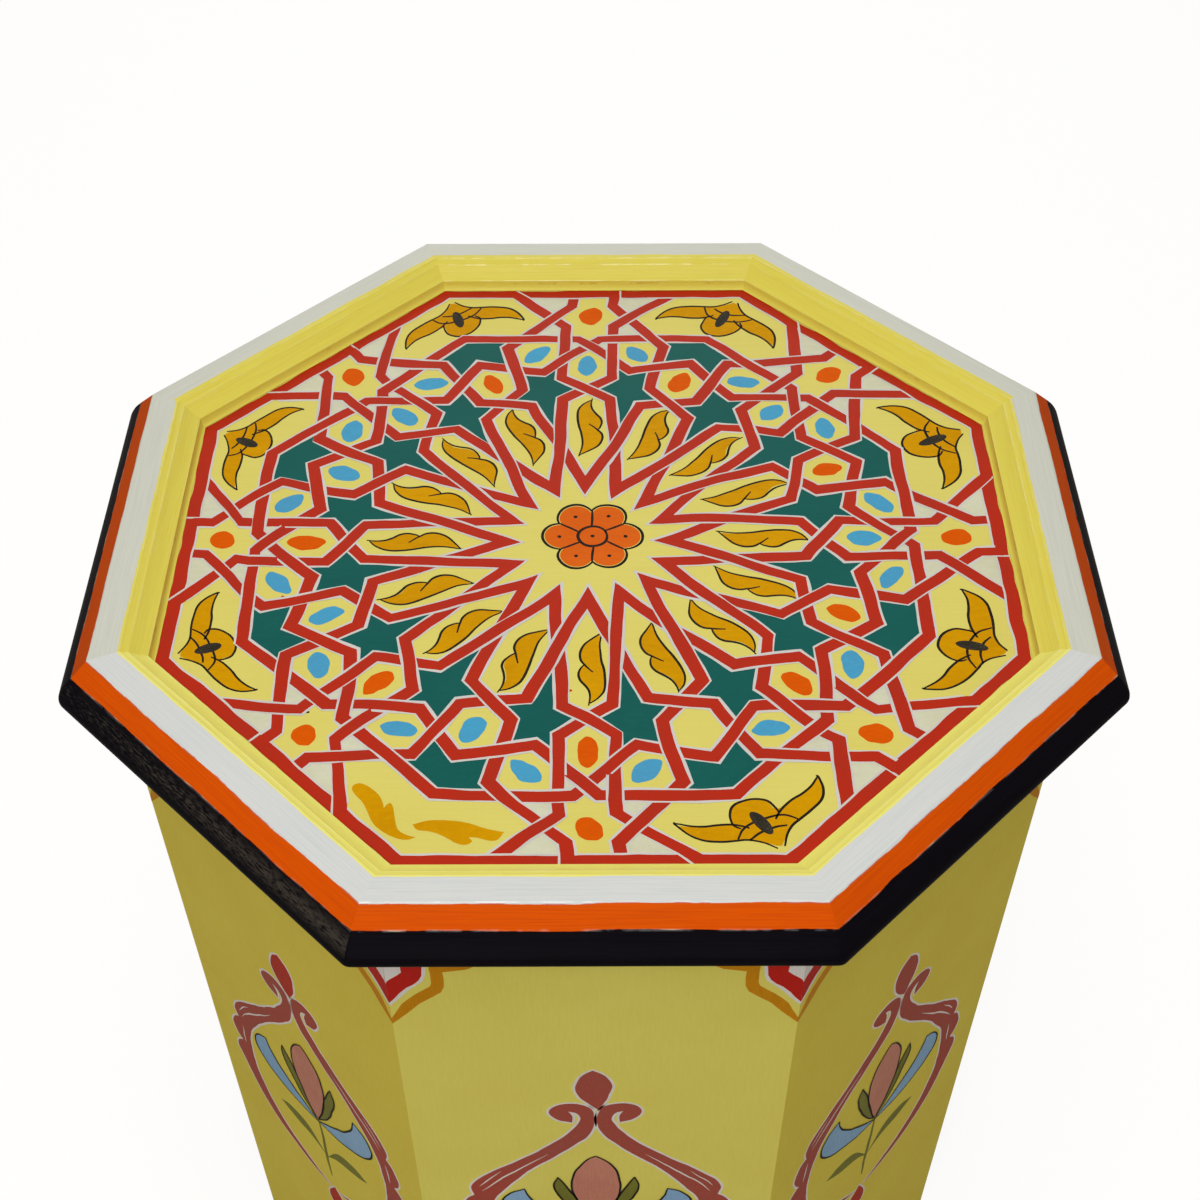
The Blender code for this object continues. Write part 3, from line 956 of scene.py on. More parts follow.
for name, motif, paint, coat, copies in (
    ("rosette_bed", petal_bed, rosette_orange, 0.8 * FILL_COAT, 1),
    ("rosette_petals", petal, rosette_orange, FILL_COAT, PETALS),
    ("rosette_ink", petal_ink, ink_black, INK_COAT, PETALS),
    ("rosette_heart", heart, rosette_orange, INK_COAT, 1),
    ("rosette_heart_ink", heart_ink, ink_black, INK_COAT, 1),
):
    lay_paint(name, motif, paint, BOARD, coat, copies, 0.0, PETAL_STEP, **ROSETTE_HAND)

# %% [markdown]
# ## Corner tulips
#
# Every corner cell holds a tulip: a round lobe towards the middle, two long leaves along the border and
# a small crown towards the corner, in ochre with ink lines and a dark hatched eye. One corner was left
# with two loose leaves and no ink. The tulip is drawn about its own middle, outwards and across. Three
# small slips of the brush come last, one of ink and two of red.

# %% Corner tulips
TULIP_REACH = 178.0
TULIP_SCALE = 0.98
TULIP_SPREAD = 1.05
INKED_CORNERS = 7
FIRST_TULIP = -1.5 * TURN
LOOSE_CORNER = -2.5 * TURN
SLIP_SIZE = (1.5, 1.2)


def corner_points(points):
    return in_metres([(TULIP_REACH + TULIP_SCALE * p[0], TULIP_SPREAD * p[1]) for p in points])


tulip_rim = [
    (15.0, 0.6), (10.8, 4.6), (7.4, 8.8), (5.6, 13.6), (3.5, 18.8), (0.0, 24.8), (-5.0, 28.6), (-11.4, 30.4),
]
tulip_leaf = [(-11.4, 30.4), (-8.6, 25.6), (-6.4, 20.8), (-5.1, 15.8), (-2.8, 10.6)]
tulip_lobe = [
    (-2.8, 10.6), (-3.6, 7.8), (-9.2, 7.0), (-12.9, 2.0), (-12.2, -4.2), (-8.0, -8.6), (-2.8, -10.6),
]
tulip_outline = sharp_outline(
    tulip_rim,
    tulip_leaf,
    tulip_lobe,
    mirrored(tulip_leaf)[::-1],
    mirrored(tulip_rim)[::-1],
)
tulip_lines = [
    [(15.4, 1.4), *tulip_rim[1:], (-13.0, 30.2)],
    [(-12.4, 30.6), *tulip_leaf[1:], (-0.4, 7.4), (1.6, 5.4)],
    [(-0.6, 8.0), (-4.4, 8.2), (-9.2, 7.2), (-12.8, 2.6), (-12.4, -4.0), (-8.0, -8.8), (-2.6, -10.4),
     (0.6, -8.6)],
    [(5.4, 12.4), (1.2, 9.0), (-0.4, 4.6), (-0.5, -2.0), (1.2, -8.0), (5.2, -12.6)],
    [(6.4, 7.4), (5.0, 3.2), (5.2, -3.0), (7.6, -9.0)],
]
tulip_lines += [mirrored(line) for line in tulip_lines[:2]]
tulip_ink = Motif()
for line in tulip_lines:
    brush_line(tulip_ink, corner_points(smooth(line)), INK_WIDTH, INK_BASE, 0.3)
tulip = areas(FILL_BASE, corner_points(tulip_outline))
eye = areas(INK_BASE + INK_COAT, dab((TULIP_REACH + 0.8, 0), 13.4, 5.4, 0.06, 1.0))
for name, motif, paint, coat, changes in (
    ("corner_tulips", tulip, leaf_ochre, FILL_COAT, {}),
    ("tulip_ink", tulip_ink, ink_black, INK_COAT, OFF_EDGE),
    ("tulip_eyes", eye, eye_ink, INK_COAT, OFF_EDGE),
):
    lay_paint(name, motif, paint, BOARD, coat, INKED_CORNERS, FIRST_TULIP, Slip=4 * MM, **changes)

loose_outlines = (
    sharp_outline(
        [(8.3, 1.8), (11.0, -1.0), (12.2, -6.0), (11.5, -12.0), (9.0, -17.0), (4.0, -21.5), (0.5, -25.0),
         (-2.5, -30.0), (-5.5, -31.8), (-8.5, -30.0), (-8.8, -26.0), (-7.0, -21.0), (-4.0, -17.5),
         (-1.0, -15.5)],
        [(-1.0, -15.5), (-3.5, -15.0), (-4.8, -13.8), (-3.0, -12.0), (2.0, -9.5), (6.5, -7.0), (8.2, -4.0),
         (8.3, 1.8)],
    ),
    sharp_outline(
        [(-8.0, 31.8), (-3.0, 30.8), (-1.0, 27.5), (-0.5, 23.0), (0.5, 20.0)],
        [(0.5, 20.0), (2.2, 21.8), (4.8, 20.0), (5.2, 16.5), (4.0, 13.0), (3.0, 9.0), (3.2, 5.0), (4.0, 1.0),
         (2.2, -1.8)],
        [(2.2, -1.8), (-1.5, 2.0), (-4.0, 6.0), (-6.0, 11.0), (-7.2, 17.0), (-7.0, 23.0), (-7.4, 28.0),
         (-8.0, 31.8)],
    ),
)
loose = areas(FILL_BASE, *[corner_points(outline) for outline in loose_outlines])
lay_paint("loose_leaves", loose, leaf_ochre, BOARD, FILL_COAT, 1, LOOSE_CORNER, Slip=0.0)
for name, paint, spots in (
    ("ink_slip", ink_black, [(-120.0, -106.8)]),
    ("red_slips", strap_red, [(-138.1, -37.9), (-9.8, -94.8)]),
):
    slips = areas(INK_BASE, *[dab(spot, *SLIP_SIZE, point=1.0) for spot in spots])
    lay_paint(name, slips, paint, BOARD, INK_COAT, 1, Slip=0.0, Drift=(0.0, 0.0, 0.0))

# %% [markdown]
# ## Bare wood
#
# Below and inside, the table was left unpainted. It is common softwood, and the grain follows each piece's
# own length, so one function makes the wood of the level pieces and that of the upright ones.

# %% Bare wood
GRAIN_LENGTH = 260 * MM
GRAIN_WIDTH = 9 * MM


def softwood(name, along):
    """Sawn softwood: paler and darker growth rings drawn out along the grain, dull and a little rough."""
    material, tree, shader, add = new_material(name)
    place = add("ShaderNodeTexCoord").outputs["Object"]
    repeats = tuple(1 / (GRAIN_LENGTH if axis == along else GRAIN_WIDTH) for axis in "xyz")
    drawn = add(MAPPING, {"Vector": place, "Scale": repeats})
    rings = add(NOISE, {"Vector": drawn, "Scale": 1.0, "Detail": 5.0, "Distortion": 0.6})
    fibre = add(NOISE, {"Vector": drawn, "Scale": 7.0, "Detail": 2.0})
    share = add(MAP_RANGE, {"Value": rings, "From Min": 0.38, "From Max": 0.64})
    tone = add(MIX, (share, colour("#C9A06A"), colour("#A9783F")), data_type="RGBA")
    sawn = add(BUMP, {"Strength": 0.5, "Distance": 0.2 * MM, "Height": fibre})
    rough = add(MAP_RANGE, {"Value": fibre, "To Min": 0.65, "To Max": 0.85})
    set_inputs(tree, shader, {
        "Base Color": tone, "Roughness": rough, "Normal": sawn, "Specular IOR Level": 0.25,
    })
    return material


level_pine = softwood("bare_pine_level", "x")
upright_pine = softwood("bare_pine_upright", "z")
print(level_pine.name, "and", upright_pine.name)

# %% [markdown]
# ## The board
#
# Under the paint the board is plain: one octagon of wood, yellow above and bare below. It is made anew
# because a board with two faces of different finish needs two materials.

# %% Board
board_mesh = bpy.data.meshes.new("painted_board")
corner_reach = BOARD_REACH / math.cos(HALF_TURN)
shape = bmesh.new()
bmesh.ops.create_cone(
    shape, cap_ends=True, segments=SIDES, radius1=corner_reach, radius2=corner_reach,
    depth=BOARD_TOP - BOARD_BOTTOM,
)
corner = max(shape.verts, key=lambda vertex: vertex.co.x).co
turn = Matrix.Rotation(HALF_TURN - math.atan2(corner.y, corner.x), 3, "Z")
bmesh.ops.rotate(shape, verts=shape.verts, matrix=turn)
bmesh.ops.translate(shape, verts=shape.verts, vec=(0, 0, (BOARD_TOP + BOARD_BOTTOM) / 2))
for face in shape.faces:
    face.material_index = 0 if face.normal.z > 0.5 else 1
shape.to_mesh(board_mesh)
shape.free()
board_mesh.materials.append(board_yellow)
board_mesh.materials.append(level_pine)
board = settle(add_object(board_mesh), "board_paint", "top_panel")
print("board", len(board.data.polygons), "faces")

# %% [markdown]
# ## The rim
#
# The rim is eight lengths of moulding, mitred at the corners: a steep, slightly hollow lip and a sloped
# cove towards the board, a small step, a flat top, a chamfer and a rounded nose. Its bands were painted
# freehand along these edges, so the material reads two things from the moulding: the way along it, and
# the way across its profile. The colour changes where the profile changes, with a wavering line.

# %% Rim profile
LIP_EDGE, BEAD_HEIGHT = 3.7 * MM, 0.7 * MM
COVE_WIDTH, COVE_HOLLOW = 7.9 * MM, 0.6 * MM
FILLET_WIDTH, FILLET_DROP, EDGE_WIDTH = 2.8 * MM, 0.9 * MM, 0.4 * MM
FLAT_WIDTH, CHAMFER_WIDTH, CHAMFER_DROP = 12.7 * MM, 7.9 * MM, 7.5 * MM
NOSE_REACH, UNDER_RADIUS, REBATE_LAP = 7.4 * MM, 4.0 * MM, 8.0 * MM
FIT_GAP = 0.3 * MM
OUTER_EASE, INNER_EASE, LIP_EASE = 0.5 * MM, 0.3 * MM, 0.25 * MM
ARRIS_POINTS = 5
CHAMFER_EDGE = RIM_REACH - NOSE_REACH
FLAT_OUTER = CHAMFER_EDGE - CHAMFER_WIDTH
FLAT_INNER = FLAT_OUTER - FLAT_WIDTH
COVE_TOP = FLAT_INNER - EDGE_WIDTH - FILLET_WIDTH
COVE_FOOT = COVE_TOP - COVE_WIDTH


def bend(start, pull, end, steps=10):
    start, pull, end = Vector(start), Vector(pull), Vector(end)
    shares = [step / steps for step in range(steps + 1)]
    return [start * (1 - t) ** 2 + pull * 2 * t * (1 - t) + end * t**2 for t in shares]


def eased(before, corner, after, size):
    """A softened arris in place of a sharp corner."""
    corner = Vector(corner)
    start = corner + (Vector(before) - corner).normalized() * size
    end = corner + (Vector(after) - corner).normalized() * size
    return bend(start, corner, end, ARRIS_POINTS - 1)


lip_bottom = BOARD_TOP + FIT_GAP
cove_foot = lip_bottom + LIP_EDGE + BEAD_HEIGHT
cove_top = RIM_TOP - 2 * FILLET_DROP
nose_top = RIM_TOP - CHAMFER_DROP
nose_foot = RIM_BOTTOM + UNDER_RADIUS
nose_pull = (RIM_REACH, nose_top - NOSE_REACH * CHAMFER_DROP / CHAMFER_WIDTH)
fillet_end = (FLAT_INNER - 2.5 * EDGE_WIDTH, RIM_TOP - FILLET_DROP)
flat_start, flat_end = (FLAT_INNER, RIM_TOP), (FLAT_OUTER, RIM_TOP)
chamfer_end = (CHAMFER_EDGE, nose_top)
nose = bend(chamfer_end, nose_pull, (RIM_REACH, nose_foot), 14)
cove_pull = (COVE_TOP - COVE_WIDTH / 2, (cove_foot + cove_top) / 2 - 2 * COVE_HOLLOW)
cove = bend((COVE_FOOT, cove_foot), cove_pull, (COVE_TOP, cove_top))
lip = bend((LIP_REACH, lip_bottom), (cove[1].x, lip_bottom + BEAD_HEIGHT), cove[1])
yellow_part = [
    *lip[:-1],
    *eased(lip[-2], cove[1], cove[2], LIP_EASE),
    *cove[2:-1],
    *eased(cove[-2], cove[-1], fillet_end, INNER_EASE),
    Vector(fillet_end),
]
white_part = [
    *eased(fillet_end, flat_start, flat_end, INNER_EASE),
    *eased(flat_start, flat_end, chamfer_end, OUTER_EASE),
]
nose_part = [*eased(flat_end, chamfer_end, nose[3], OUTER_EASE), *nose[3:]]
under_part = [
    *bend((RIM_REACH, nose_foot), (RIM_REACH, RIM_BOTTOM), (RIM_REACH - UNDER_RADIUS, RIM_BOTTOM))[1:],
    Vector((LIP_REACH + REBATE_LAP, RIM_BOTTOM)),
    Vector((LIP_REACH + REBATE_LAP, lip_bottom)),
]
rim_profile = [*yellow_part, *white_part, *nose_part, *under_part]
profile_run = [0.0]
for near, far in zip(rim_profile, rim_profile[1:]):
    profile_run.append(profile_run[-1] + (far - near).length)

# The way across the profile at the middle of each eased arris, from the board outwards.
lip_end, white_start = len(lip) - 1, len(yellow_part)
nose_start = white_start + len(white_part)
arris_starts = (lip_end, white_start - 1 - ARRIS_POINTS, white_start, white_start + ARRIS_POINTS, nose_start)
ARRISES = [profile_run[start + ARRIS_POINTS // 2] for start in arris_starts]
flat_arris, chamfer_arris, nose_arris = ARRISES[2:]
QUIRK_RUN = profile_run[lip_end - 2]
WHITE_RUN = flat_arris + 0.9 * MM
ORANGE_RUN = chamfer_arris + 0.7 * MM
BLACK_RUN = nose_arris
bands = [round(run / MM, 1) for run in (WHITE_RUN, ORANGE_RUN, BLACK_RUN)]
print(len(rim_profile), "profile points, bands at", bands, "mm")

# %% [markdown]
# The rim's paint is four enamels side by side. Two chains of mixes, one of full tones and one of thin
# ones, change colour at the same three wavering lines, and the brush strokes then choose between them.
# Each tone is a pair: a darker one on the far lengths as painted shade, and a brighter one on the near
# lengths as painted light. Where orange meets white the brush left a reddish fringe, and along the black it
# left bare nicks. A darker ochre in the hollow of the lip is partly pooled paint and partly painted shade,
# and brown-grey streaks on the left front black are partly worn paint and partly a painted sheen. On the
# rear lengths the yellow laps further on to the flat. The way along the rim counts one metre per length,
# from the front one to the right, so each length has strokes and stains of its own.

# %% Rim paint
NOSE_RUN = BLACK_RUN + 6.0 * MM
BACK_SIDE = 4.0
BACK_LAP = 1.6 * MM
SHEEN_WEAR_FROM, SHEEN_WEAR_TO = 6.3, 7.1
SOFT_EDGE = 0.12 * MM
ARRIS_HALF = 0.5 * MM
# Where each freehand edge runs, and how long its waves are and how far they swing, in millimetres.
FREEHAND_EDGES = ((WHITE_RUN, 34, 1.6), (ORANGE_RUN, 42, 2.4), (BLACK_RUN, 52, 3.0))
# A darker far and a brighter near tone each of yellow, white, orange and black, for a full coat and for a
# thin one: painted shade on the far lengths and painted light on the near ones.
FULL_TONES = ("#E3D65B #F0E976", "#D2D4C9 #D9DBDA", "#C64A02 #DE5604", "#0C0A10 #0C0A10")
THIN_TONES = ("#DDCD50 #EBE26A", "#C9CAC2 #CED2D5", "#B84106 #CF4C08", "#120F15 #120F15")


def rim_enamel(name, roughness, relief):
    """Enamel in freehand bands along a moulding, streaked along its length, with glints on its arrises."""
    material, tree, shader, add = new_material(name)
    place = add("ShaderNodeUVMap", uv_map="brush")
    way = add("ShaderNodeSeparateXYZ", (place,)).outputs
    from_back = add(MATH, (way["X"], BACK_SIDE), operation="SUBTRACT")
    from_back = add(MATH, (from_back,), operation="ABSOLUTE")
    lap = add(MAP_RANGE, {
        "Value": from_back, "From Min": 1.4, "From Max": 1.6, "To Min": -BACK_LAP, "To Max": 0.0,
    })
    # The share of the near tones: painted light on the near lengths, painted shade on the far ones.
    lit_near_share = add(MAP_RANGE, {"Value": from_back, "From Min": 2.4, "From Max": 2.6})
    # How far past each freehand edge a point lies, and the share of the next colour there.
    ways_past, shares = [], []
    for start, spacing, amount in FREEHAND_EDGES:
        unsteady = add(NOISE, {
            "W": way["X"], "Scale": 1 / (spacing * MM), "Detail": 4.0, "Roughness": 0.55,
        }, noise_dimensions="1D")
        wander = add(MATH, (unsteady, amount * MM, way["Y"]), operation="MULTIPLY_ADD")
        beyond = add(MATH, (wander, -start - amount / 2 * MM), operation="ADD")
        if start == WHITE_RUN:
            beyond = add(MATH, (beyond, lap), operation="ADD")
        ways_past.append(beyond)
        shares.append(add(MAP_RANGE, {"Value": beyond, "From Min": -SOFT_EDGE, "From Max": SOFT_EDGE}))
    stretched = add(MAPPING, {"Vector": place, "Scale": (1 / (38 * MM), 1 / (0.8 * MM), 1.0)})
    bristle = add(NOISE, {"Vector": stretched, "Scale": 1.0, "Detail": 5.0, "Roughness": 0.6})
    streak = add(MAP_RANGE, {"Value": bristle, "From Min": 0.42, "From Max": 0.70})
    coats = []
    for tones in (FULL_TONES, THIN_TONES):
        chain = colour("#FFFFFF")
        for share, pair in zip((1.0, *shares), tones):
            shaded_far_tone, lit_near_tone = [colour(tone) for tone in pair.split()]
            paint = add(MIX, (lit_near_share, shaded_far_tone, lit_near_tone), data_type="RGBA")
            chain = add(MIX, (share, chain, paint), data_type="RGBA")
        coats.append(chain)
    tone = add(MIX, (streak, coats[0], coats[1]), data_type="RGBA")
    patches = add(NOISE, {"Vector": place, "Scale": 1 / (9 * MM), "Detail": 3.0})
    # On the left front length the black turns brown grey in streaks, more so towards the front corner:
    # partly worn, thin paint and partly a painted sheen.
    left_front_sheen_wear = add(MAP_RANGE, {"Value": way["X"], "From Min": SHEEN_WEAR_FROM, "From Max": SHEEN_WEAR_TO})
    along = add(MAPPING, {"Vector": place, "Scale": (1 / (4.5 * MM), 1 / (0.7 * MM), 1.0)})
    sheen_wear_streaks = add(NOISE, {"Vector": along, "Scale": 1.0, "Detail": 5.0, "Roughness": 0.7})
    worn = add(MATH, (left_front_sheen_wear, sheen_wear_streaks), operation="MULTIPLY")
    past_quirk = add(MATH, (way["Y"], -QUIRK_RUN), operation="ADD")
    past_nose = add(MATH, (way["Y"], -NOSE_RUN), operation="ADD")
    # Stains and painted shade along a line: the way from it, its half width, what breaks it up and from
    # where, and its colour.
    for beyond, half_width, broken, bare_from, stain_and_shade in (
        # A darker ochre in the hollow of the lip: partly pooled paint, partly painted shade in the recess.
        (past_quirk, 0.9, patches, 0.56, "#D2B648"),
        (ways_past[1], 0.45, patches, 0.46, "#C65A48"),
        (ways_past[2], 0.25, patches, 0.58, "#D3B98C"),
        # Brown-grey streaks on the left front black: partly worn, thin paint, partly a painted sheen.
        (past_nose, 6.0, worn, 0.40, "#413B34"),
    ):
        away = add(MATH, (beyond,), operation="ABSOLUTE")
        near = add(MAP_RANGE, {
            "Value": away, "From Min": 0.0, "From Max": half_width * MM, "To Min": 1.0, "To Max": 0.0,
        })
        patchy = add(MAP_RANGE, {"Value": broken, "From Min": bare_from, "From Max": bare_from + 0.1})
        share = add(MATH, (near, patchy), operation="MULTIPLY")
        tone = add(MIX, (share, tone, colour(stain_and_shade)), data_type="RGBA")
    sheen = add(MAP_RANGE, {
        "Value": bristle, "From Min": 0.3, "From Max": 0.7,
        "To Min": roughness - 0.08, "To Max": roughness + 0.08,
    })
    ridges = add(BUMP, {"Strength": relief, "Distance": 0.12 * MM, "Height": bristle})
    # On the arrises the coat is thick and smooth, so in places it glints where it faces a lamp.
    arris = 0.0
    for run in ARRISES:
        on_arris = add(MATH, (way["Y"], run, ARRIS_HALF), operation="COMPARE")
        arris = add(MATH, (on_arris, arris), operation="ADD")
    smooth_coat = add(MAP_RANGE, {"Value": patches, "From Min": 0.45, "From Max": 0.55})
    glint = add(MATH, (arris, smooth_coat), operation="MULTIPLY")
    gloss = add(MAP_RANGE, {"Value": shares[1], "To Min": 0.15, "To Max": 0.02})
    gloss = add(MATH, (gloss, glint), operation="ADD")
    set_inputs(tree, shader, {
        "Base Color": tone, "Roughness": sheen, "Normal": ridges, "Specular IOR Level": gloss,
    })
    return material


rim_bands = rim_enamel("rim_band_enamel", 0.33, 0.6)
print(rim_bands.name, "with", len(rim_bands.node_tree.nodes), "nodes")

# %% [markdown]
# Each length is built as rings of profile points from mitre to mitre, closed at both ends. The wood was
# planed by hand, so a slow ripple of about a tenth of a millimetre runs through it, and the sharp arrises
# are eased. The outer corners are worn round, more so at the nose. The points at the mitre slide along
# the side and stay on the joint.

# %% Rim mouldings
RIM_STATIONS = 37
MIDDLE_SHARE = 0.95
CORNER_STEPS = (0.0, 0.008, 0.016, 0.026, 0.038)
RIPPLE = 0.12 * MM
RIPPLE_SPACING, RIPPLE_RISE, RIPPLE_STEP = 55 * MM, 6 * MM, 7.0
MITRE_GAP = 0.004 * MM
CORNER_RADIUS = 5 * MM
SHARP_ANGLE = math.radians(40)
rim_shares = [
    *[step - 1 for step in CORNER_STEPS],
    *[MIDDLE_SHARE * (2 * step / (RIM_STATIONS - 1) - 1) for step in range(RIM_STATIONS)],
    *[1 - step for step in CORNER_STEPS[::-1]],
]


def rim_place(share, reach):
    """The way along a length and its true reach there. Near the mitre the outer corner is worn round."""
    half = reach * MITRE - MITRE_GAP
    radius = CORNER_RADIUS * max(0.0, (reach - FLAT_OUTER) / (RIM_REACH - FLAT_OUTER)) ** 2
    span = radius * MITRE
    left = half * (1 - abs(share))
    if left >= span:
        return share * half, reach
    turn = HALF_TURN * (1 - left / span)
    return math.copysign(half - span + radius * math.sin(turn), share), reach - radius * (1 - math.cos(turn))


def rim_length(number):
    mesh = bpy.data.meshes.new("painted_rim_" + str(number + 1))
    points, faces, brush = [], [], []
    count = len(rim_profile)
    for share in rim_shares:
        for reach, height in rim_profile:
            along, rounded = rim_place(share, reach)
            spot = Vector((along / RIPPLE_SPACING, number * RIPPLE_STEP, height / RIPPLE_RISE))
            rise = RIPPLE * noise.noise(spot)
            points.append((along, -rounded + rise * (reach > FLAT_OUTER), height))
    for station in range(len(rim_shares) - 1):
        for i in range(count):
            j = (i + 1) % count
            near, far = station * count, (station + 1) * count
            faces.append([near + i, near + j, far + j, far + i])
            runs = (profile_run[i], profile_run[j] if j else profile_run[i])
            for place, run in zip(faces[-1], (runs[0], runs[1], runs[1], runs[0])):
                brush.append((points[place][0] + number, run))
    for first, order in ((0, -1), ((len(rim_shares) - 1) * count, 1)):
        faces.append([first + i for i in range(count)][::order])
        brush += [(number, profile_run[i]) for i in range(count)][::order]
    mesh.from_pydata(points, [], faces)
    set_brush_map(mesh, brush)
    mesh.materials.append(rim_bands)
    shape = bmesh.new()
    shape.from_mesh(mesh)
    bmesh.ops.recalc_face_normals(shape, faces=shape.faces)
    shape.to_mesh(mesh)
    shape.free()
    mesh.transform(Matrix.Rotation(number * TURN, 4, "Z"))
    mesh.shade_smooth()
    mesh.set_sharp_from_angle(angle=SHARP_ANGLE)
    return settle(add_object(mesh), "rim_paint", "rim_moulding_" + str(number + 1))


mouldings = [rim_length(number) for number in range(SIDES)]
print(len(mouldings), "mouldings of", len(mouldings[0].data.polygons), "faces")

# %% [markdown]
# ## The panels
#
# Eight upright boards make the body. Their edges are bevelled to meet at the corners, where the paint
# runs across the joint, so these boards meet without the model's small gap. The foot has a cusped arch,
# which the picture doesn't show. The outside and the edges are yellow: a paler yellow on the front panel
# as painted light, and a deeper gold on the others as painted shade. The inside is bare wood.

# %% Panels
ARCH_HALF_WIDTH = 55.0 * MM
ARCH_HEIGHT = 92.0 * MM
ARCH_SHOULDER = 24.0 * MM
ARCH_LOBE = 16.0 * MM
ARCH_SWEEP = math.radians(110)
LOBE_STEPS = 14
PANEL_EASE = 0.8 * MM


def arch_curve(grow=0.0):
    """The arch from its right foot over the crown to its left foot, or a line that far outside it."""
    lobe_x = ARCH_HALF_WIDTH - ARCH_LOBE
    radius = ARCH_LOBE + grow
    angles = [ARCH_SWEEP * step / LOBE_STEPS for step in range(LOBE_STEPS + 1)]
    lobe = [Vector((lobe_x + radius * math.cos(a), ARCH_SHOULDER + radius * math.sin(a))) for a in angles]
    cusp = lobe[-1]
    pull = (cusp.x, (cusp.y + 2 * (ARCH_HEIGHT + grow)) / 3)
    right = [*lobe, *bend(cusp, pull, (0, ARCH_HEIGHT + grow), 16)[1:]]
    left = [Vector((-point.x, point.y)) for point in right[-2::-1]]
    return right + left


def panel_board(number):
    shape = bmesh.new()
    arch = arch_curve()
    loops = []
    for reach in (BODY_REACH, BODY_INNER_REACH):
        half = reach * MITRE
        corners = [(-half, 0.0), (-half, BODY_TOP), (half, BODY_TOP), (half, 0.0)]
        outline = [*corners, (ARCH_HALF_WIDTH, 0.0), *arch, (-ARCH_HALF_WIDTH, 0.0)]
        loops.append([shape.verts.new((p[0], -reach, p[1])) for p in outline])
    outer, inner = loops
    shape.faces.new(outer)
    shape.faces.new(inner[::-1]).material_index = 1
    for i in range(len(outer)):
        j = (i + 1) % len(outer)
        shape.faces.new((outer[i], inner[i], inner[j], outer[j]))
    bmesh.ops.recalc_face_normals(shape, faces=shape.faces)
    # The edges round the arch are eased, on both faces of the board.
    arch_loops = [loop[len(corners):] for loop in loops]
    arch_edges = [
        edge for edge in shape.edges
        if any(all(vertex in loop for vertex in edge.verts) for loop in arch_loops)
    ]
    bmesh.ops.bevel(
        shape, geom=arch_edges, offset=PANEL_EASE, segments=2, profile=0.5, affect="EDGES",
        clamp_overlap=True,
    )
    mesh = bpy.data.meshes.new("painted_panel_" + str(number + 1))
    shape.to_mesh(mesh)
    shape.free()
    # The front panel gets the paler yellow of painted light, and the others the deeper gold of painted shade.
    mesh.materials.append(shaded_panel_gold if number else lit_front_panel_yellow)
    mesh.materials.append(upright_pine)
    mesh.transform(Matrix.Rotation(number * TURN, 4, "Z"))
    return settle(add_object(mesh), "body_paint", "side_panel_" + str(number + 1))


panels = [panel_board(number) for number in range(SIDES)]
print(len(panels), "panels of", len(panels[0].data.polygons), "faces")

# %% [markdown]
# ## Ornament on the panels
#
# Each panel carries the same arabesque: a bud, two scrolls that hook under it and swell into leaves, and
# a flower between them. Pointed swags hang over each upright edge from under the rim. What the picture
# cuts off is completed in the same manner: the leaves close below the flower, and a line follows the arch.
# Places are in millimetres across from the middle of the panel and down from the top of the rim.

# %% Panel places
PANEL_COAT = 0.05 * MM
PANEL_BASE = -0.01 * MM
EDGE_ACROSS = BODY_REACH * MITRE / MM
PALE_LINE = 1.2 * MM


def panel_points(points):
    return [Vector((p[0] * MM, RIM_TOP - p[1] * MM)) for p in points]


def flipped(points):
    return [(-p[0], p[1]) for p in points]


def widened(outline, amount):
    """An outline pushed outwards by an even amount, without the points that fold over in a notch."""
    count = len(outline)
    spread = sum(a.x * b.y - b.x * a.y for a, b in zip(outline, [*outline[1:], outline[0]]))
    side = 1 if spread > 0 else -1
    grown = []
    for i, point in enumerate(outline):
        before = (point - outline[i - 1]).normalized()
        after = (outline[(i + 1) % count] - point).normalized()
        normal = Vector((before.y + after.y, -before.x - after.x))
        normal = normal.normalized() if normal.length > 1e-6 else Vector((before.y, -before.x))
        grown.append(point + normal * side * amount)
    return [spot for spot in grown if min((spot - point).length for point in outline) > 0.98 * amount]

# %% [markdown]
# The scrolls are drawn as closed outlines with sharp notches between their lobes. A wider copy under each
# gives it the pale line round its edge, and a thin pale vein runs along the leaf.

# %% Arabesque
bud = sharp_outline(
    [(0.9, 171.8), (-3.6, 166.4), (-7.4, 160.0), (-8.9, 152.0), (-6.6, 143.2), (-1.2, 138.0)],
    [(-1.2, 138.0), (4.6, 143.0), (7.0, 151.0), (5.9, 160.0), (3.4, 167.0), (0.9, 171.8)],
)
arm_upper = [
    (-10.7, 183.6), (-17.2, 180.8), (-21.0, 174.4), (-18.2, 168.6), (-10.4, 166.4), (-3.0, 170.2),
    (-0.7, 178.0), (-1.2, 188.0), (-4.4, 197.0), (-9.6, 204.4), (-18.7, 215.4), (-29.0, 226.6),
    (-37.4, 237.8), (-44.0, 249.0), (-48.6, 257.0), (-51.8, 268.0), (-53.4, 280.0), (-54.0, 292.0),
    (-52.0, 310.0), (-45.0, 330.0), (-32.0, 348.0), (-16.0, 361.0), (-3.0, 369.0),
]
arm_lower = [
    (-3.0, 369.0), (-22.0, 362.0), (-41.0, 349.0), (-55.0, 331.0), (-62.0, 313.0), (-66.0, 301.0),
]
arm_third = [(-66.0, 301.0), (-68.0, 293.0), (-66.4, 286.0), (-61.6, 280.8)]
arm_second = [(-61.6, 280.8), (-64.8, 276.0), (-66.2, 268.0), (-63.0, 258.6), (-58.8, 254.6)]
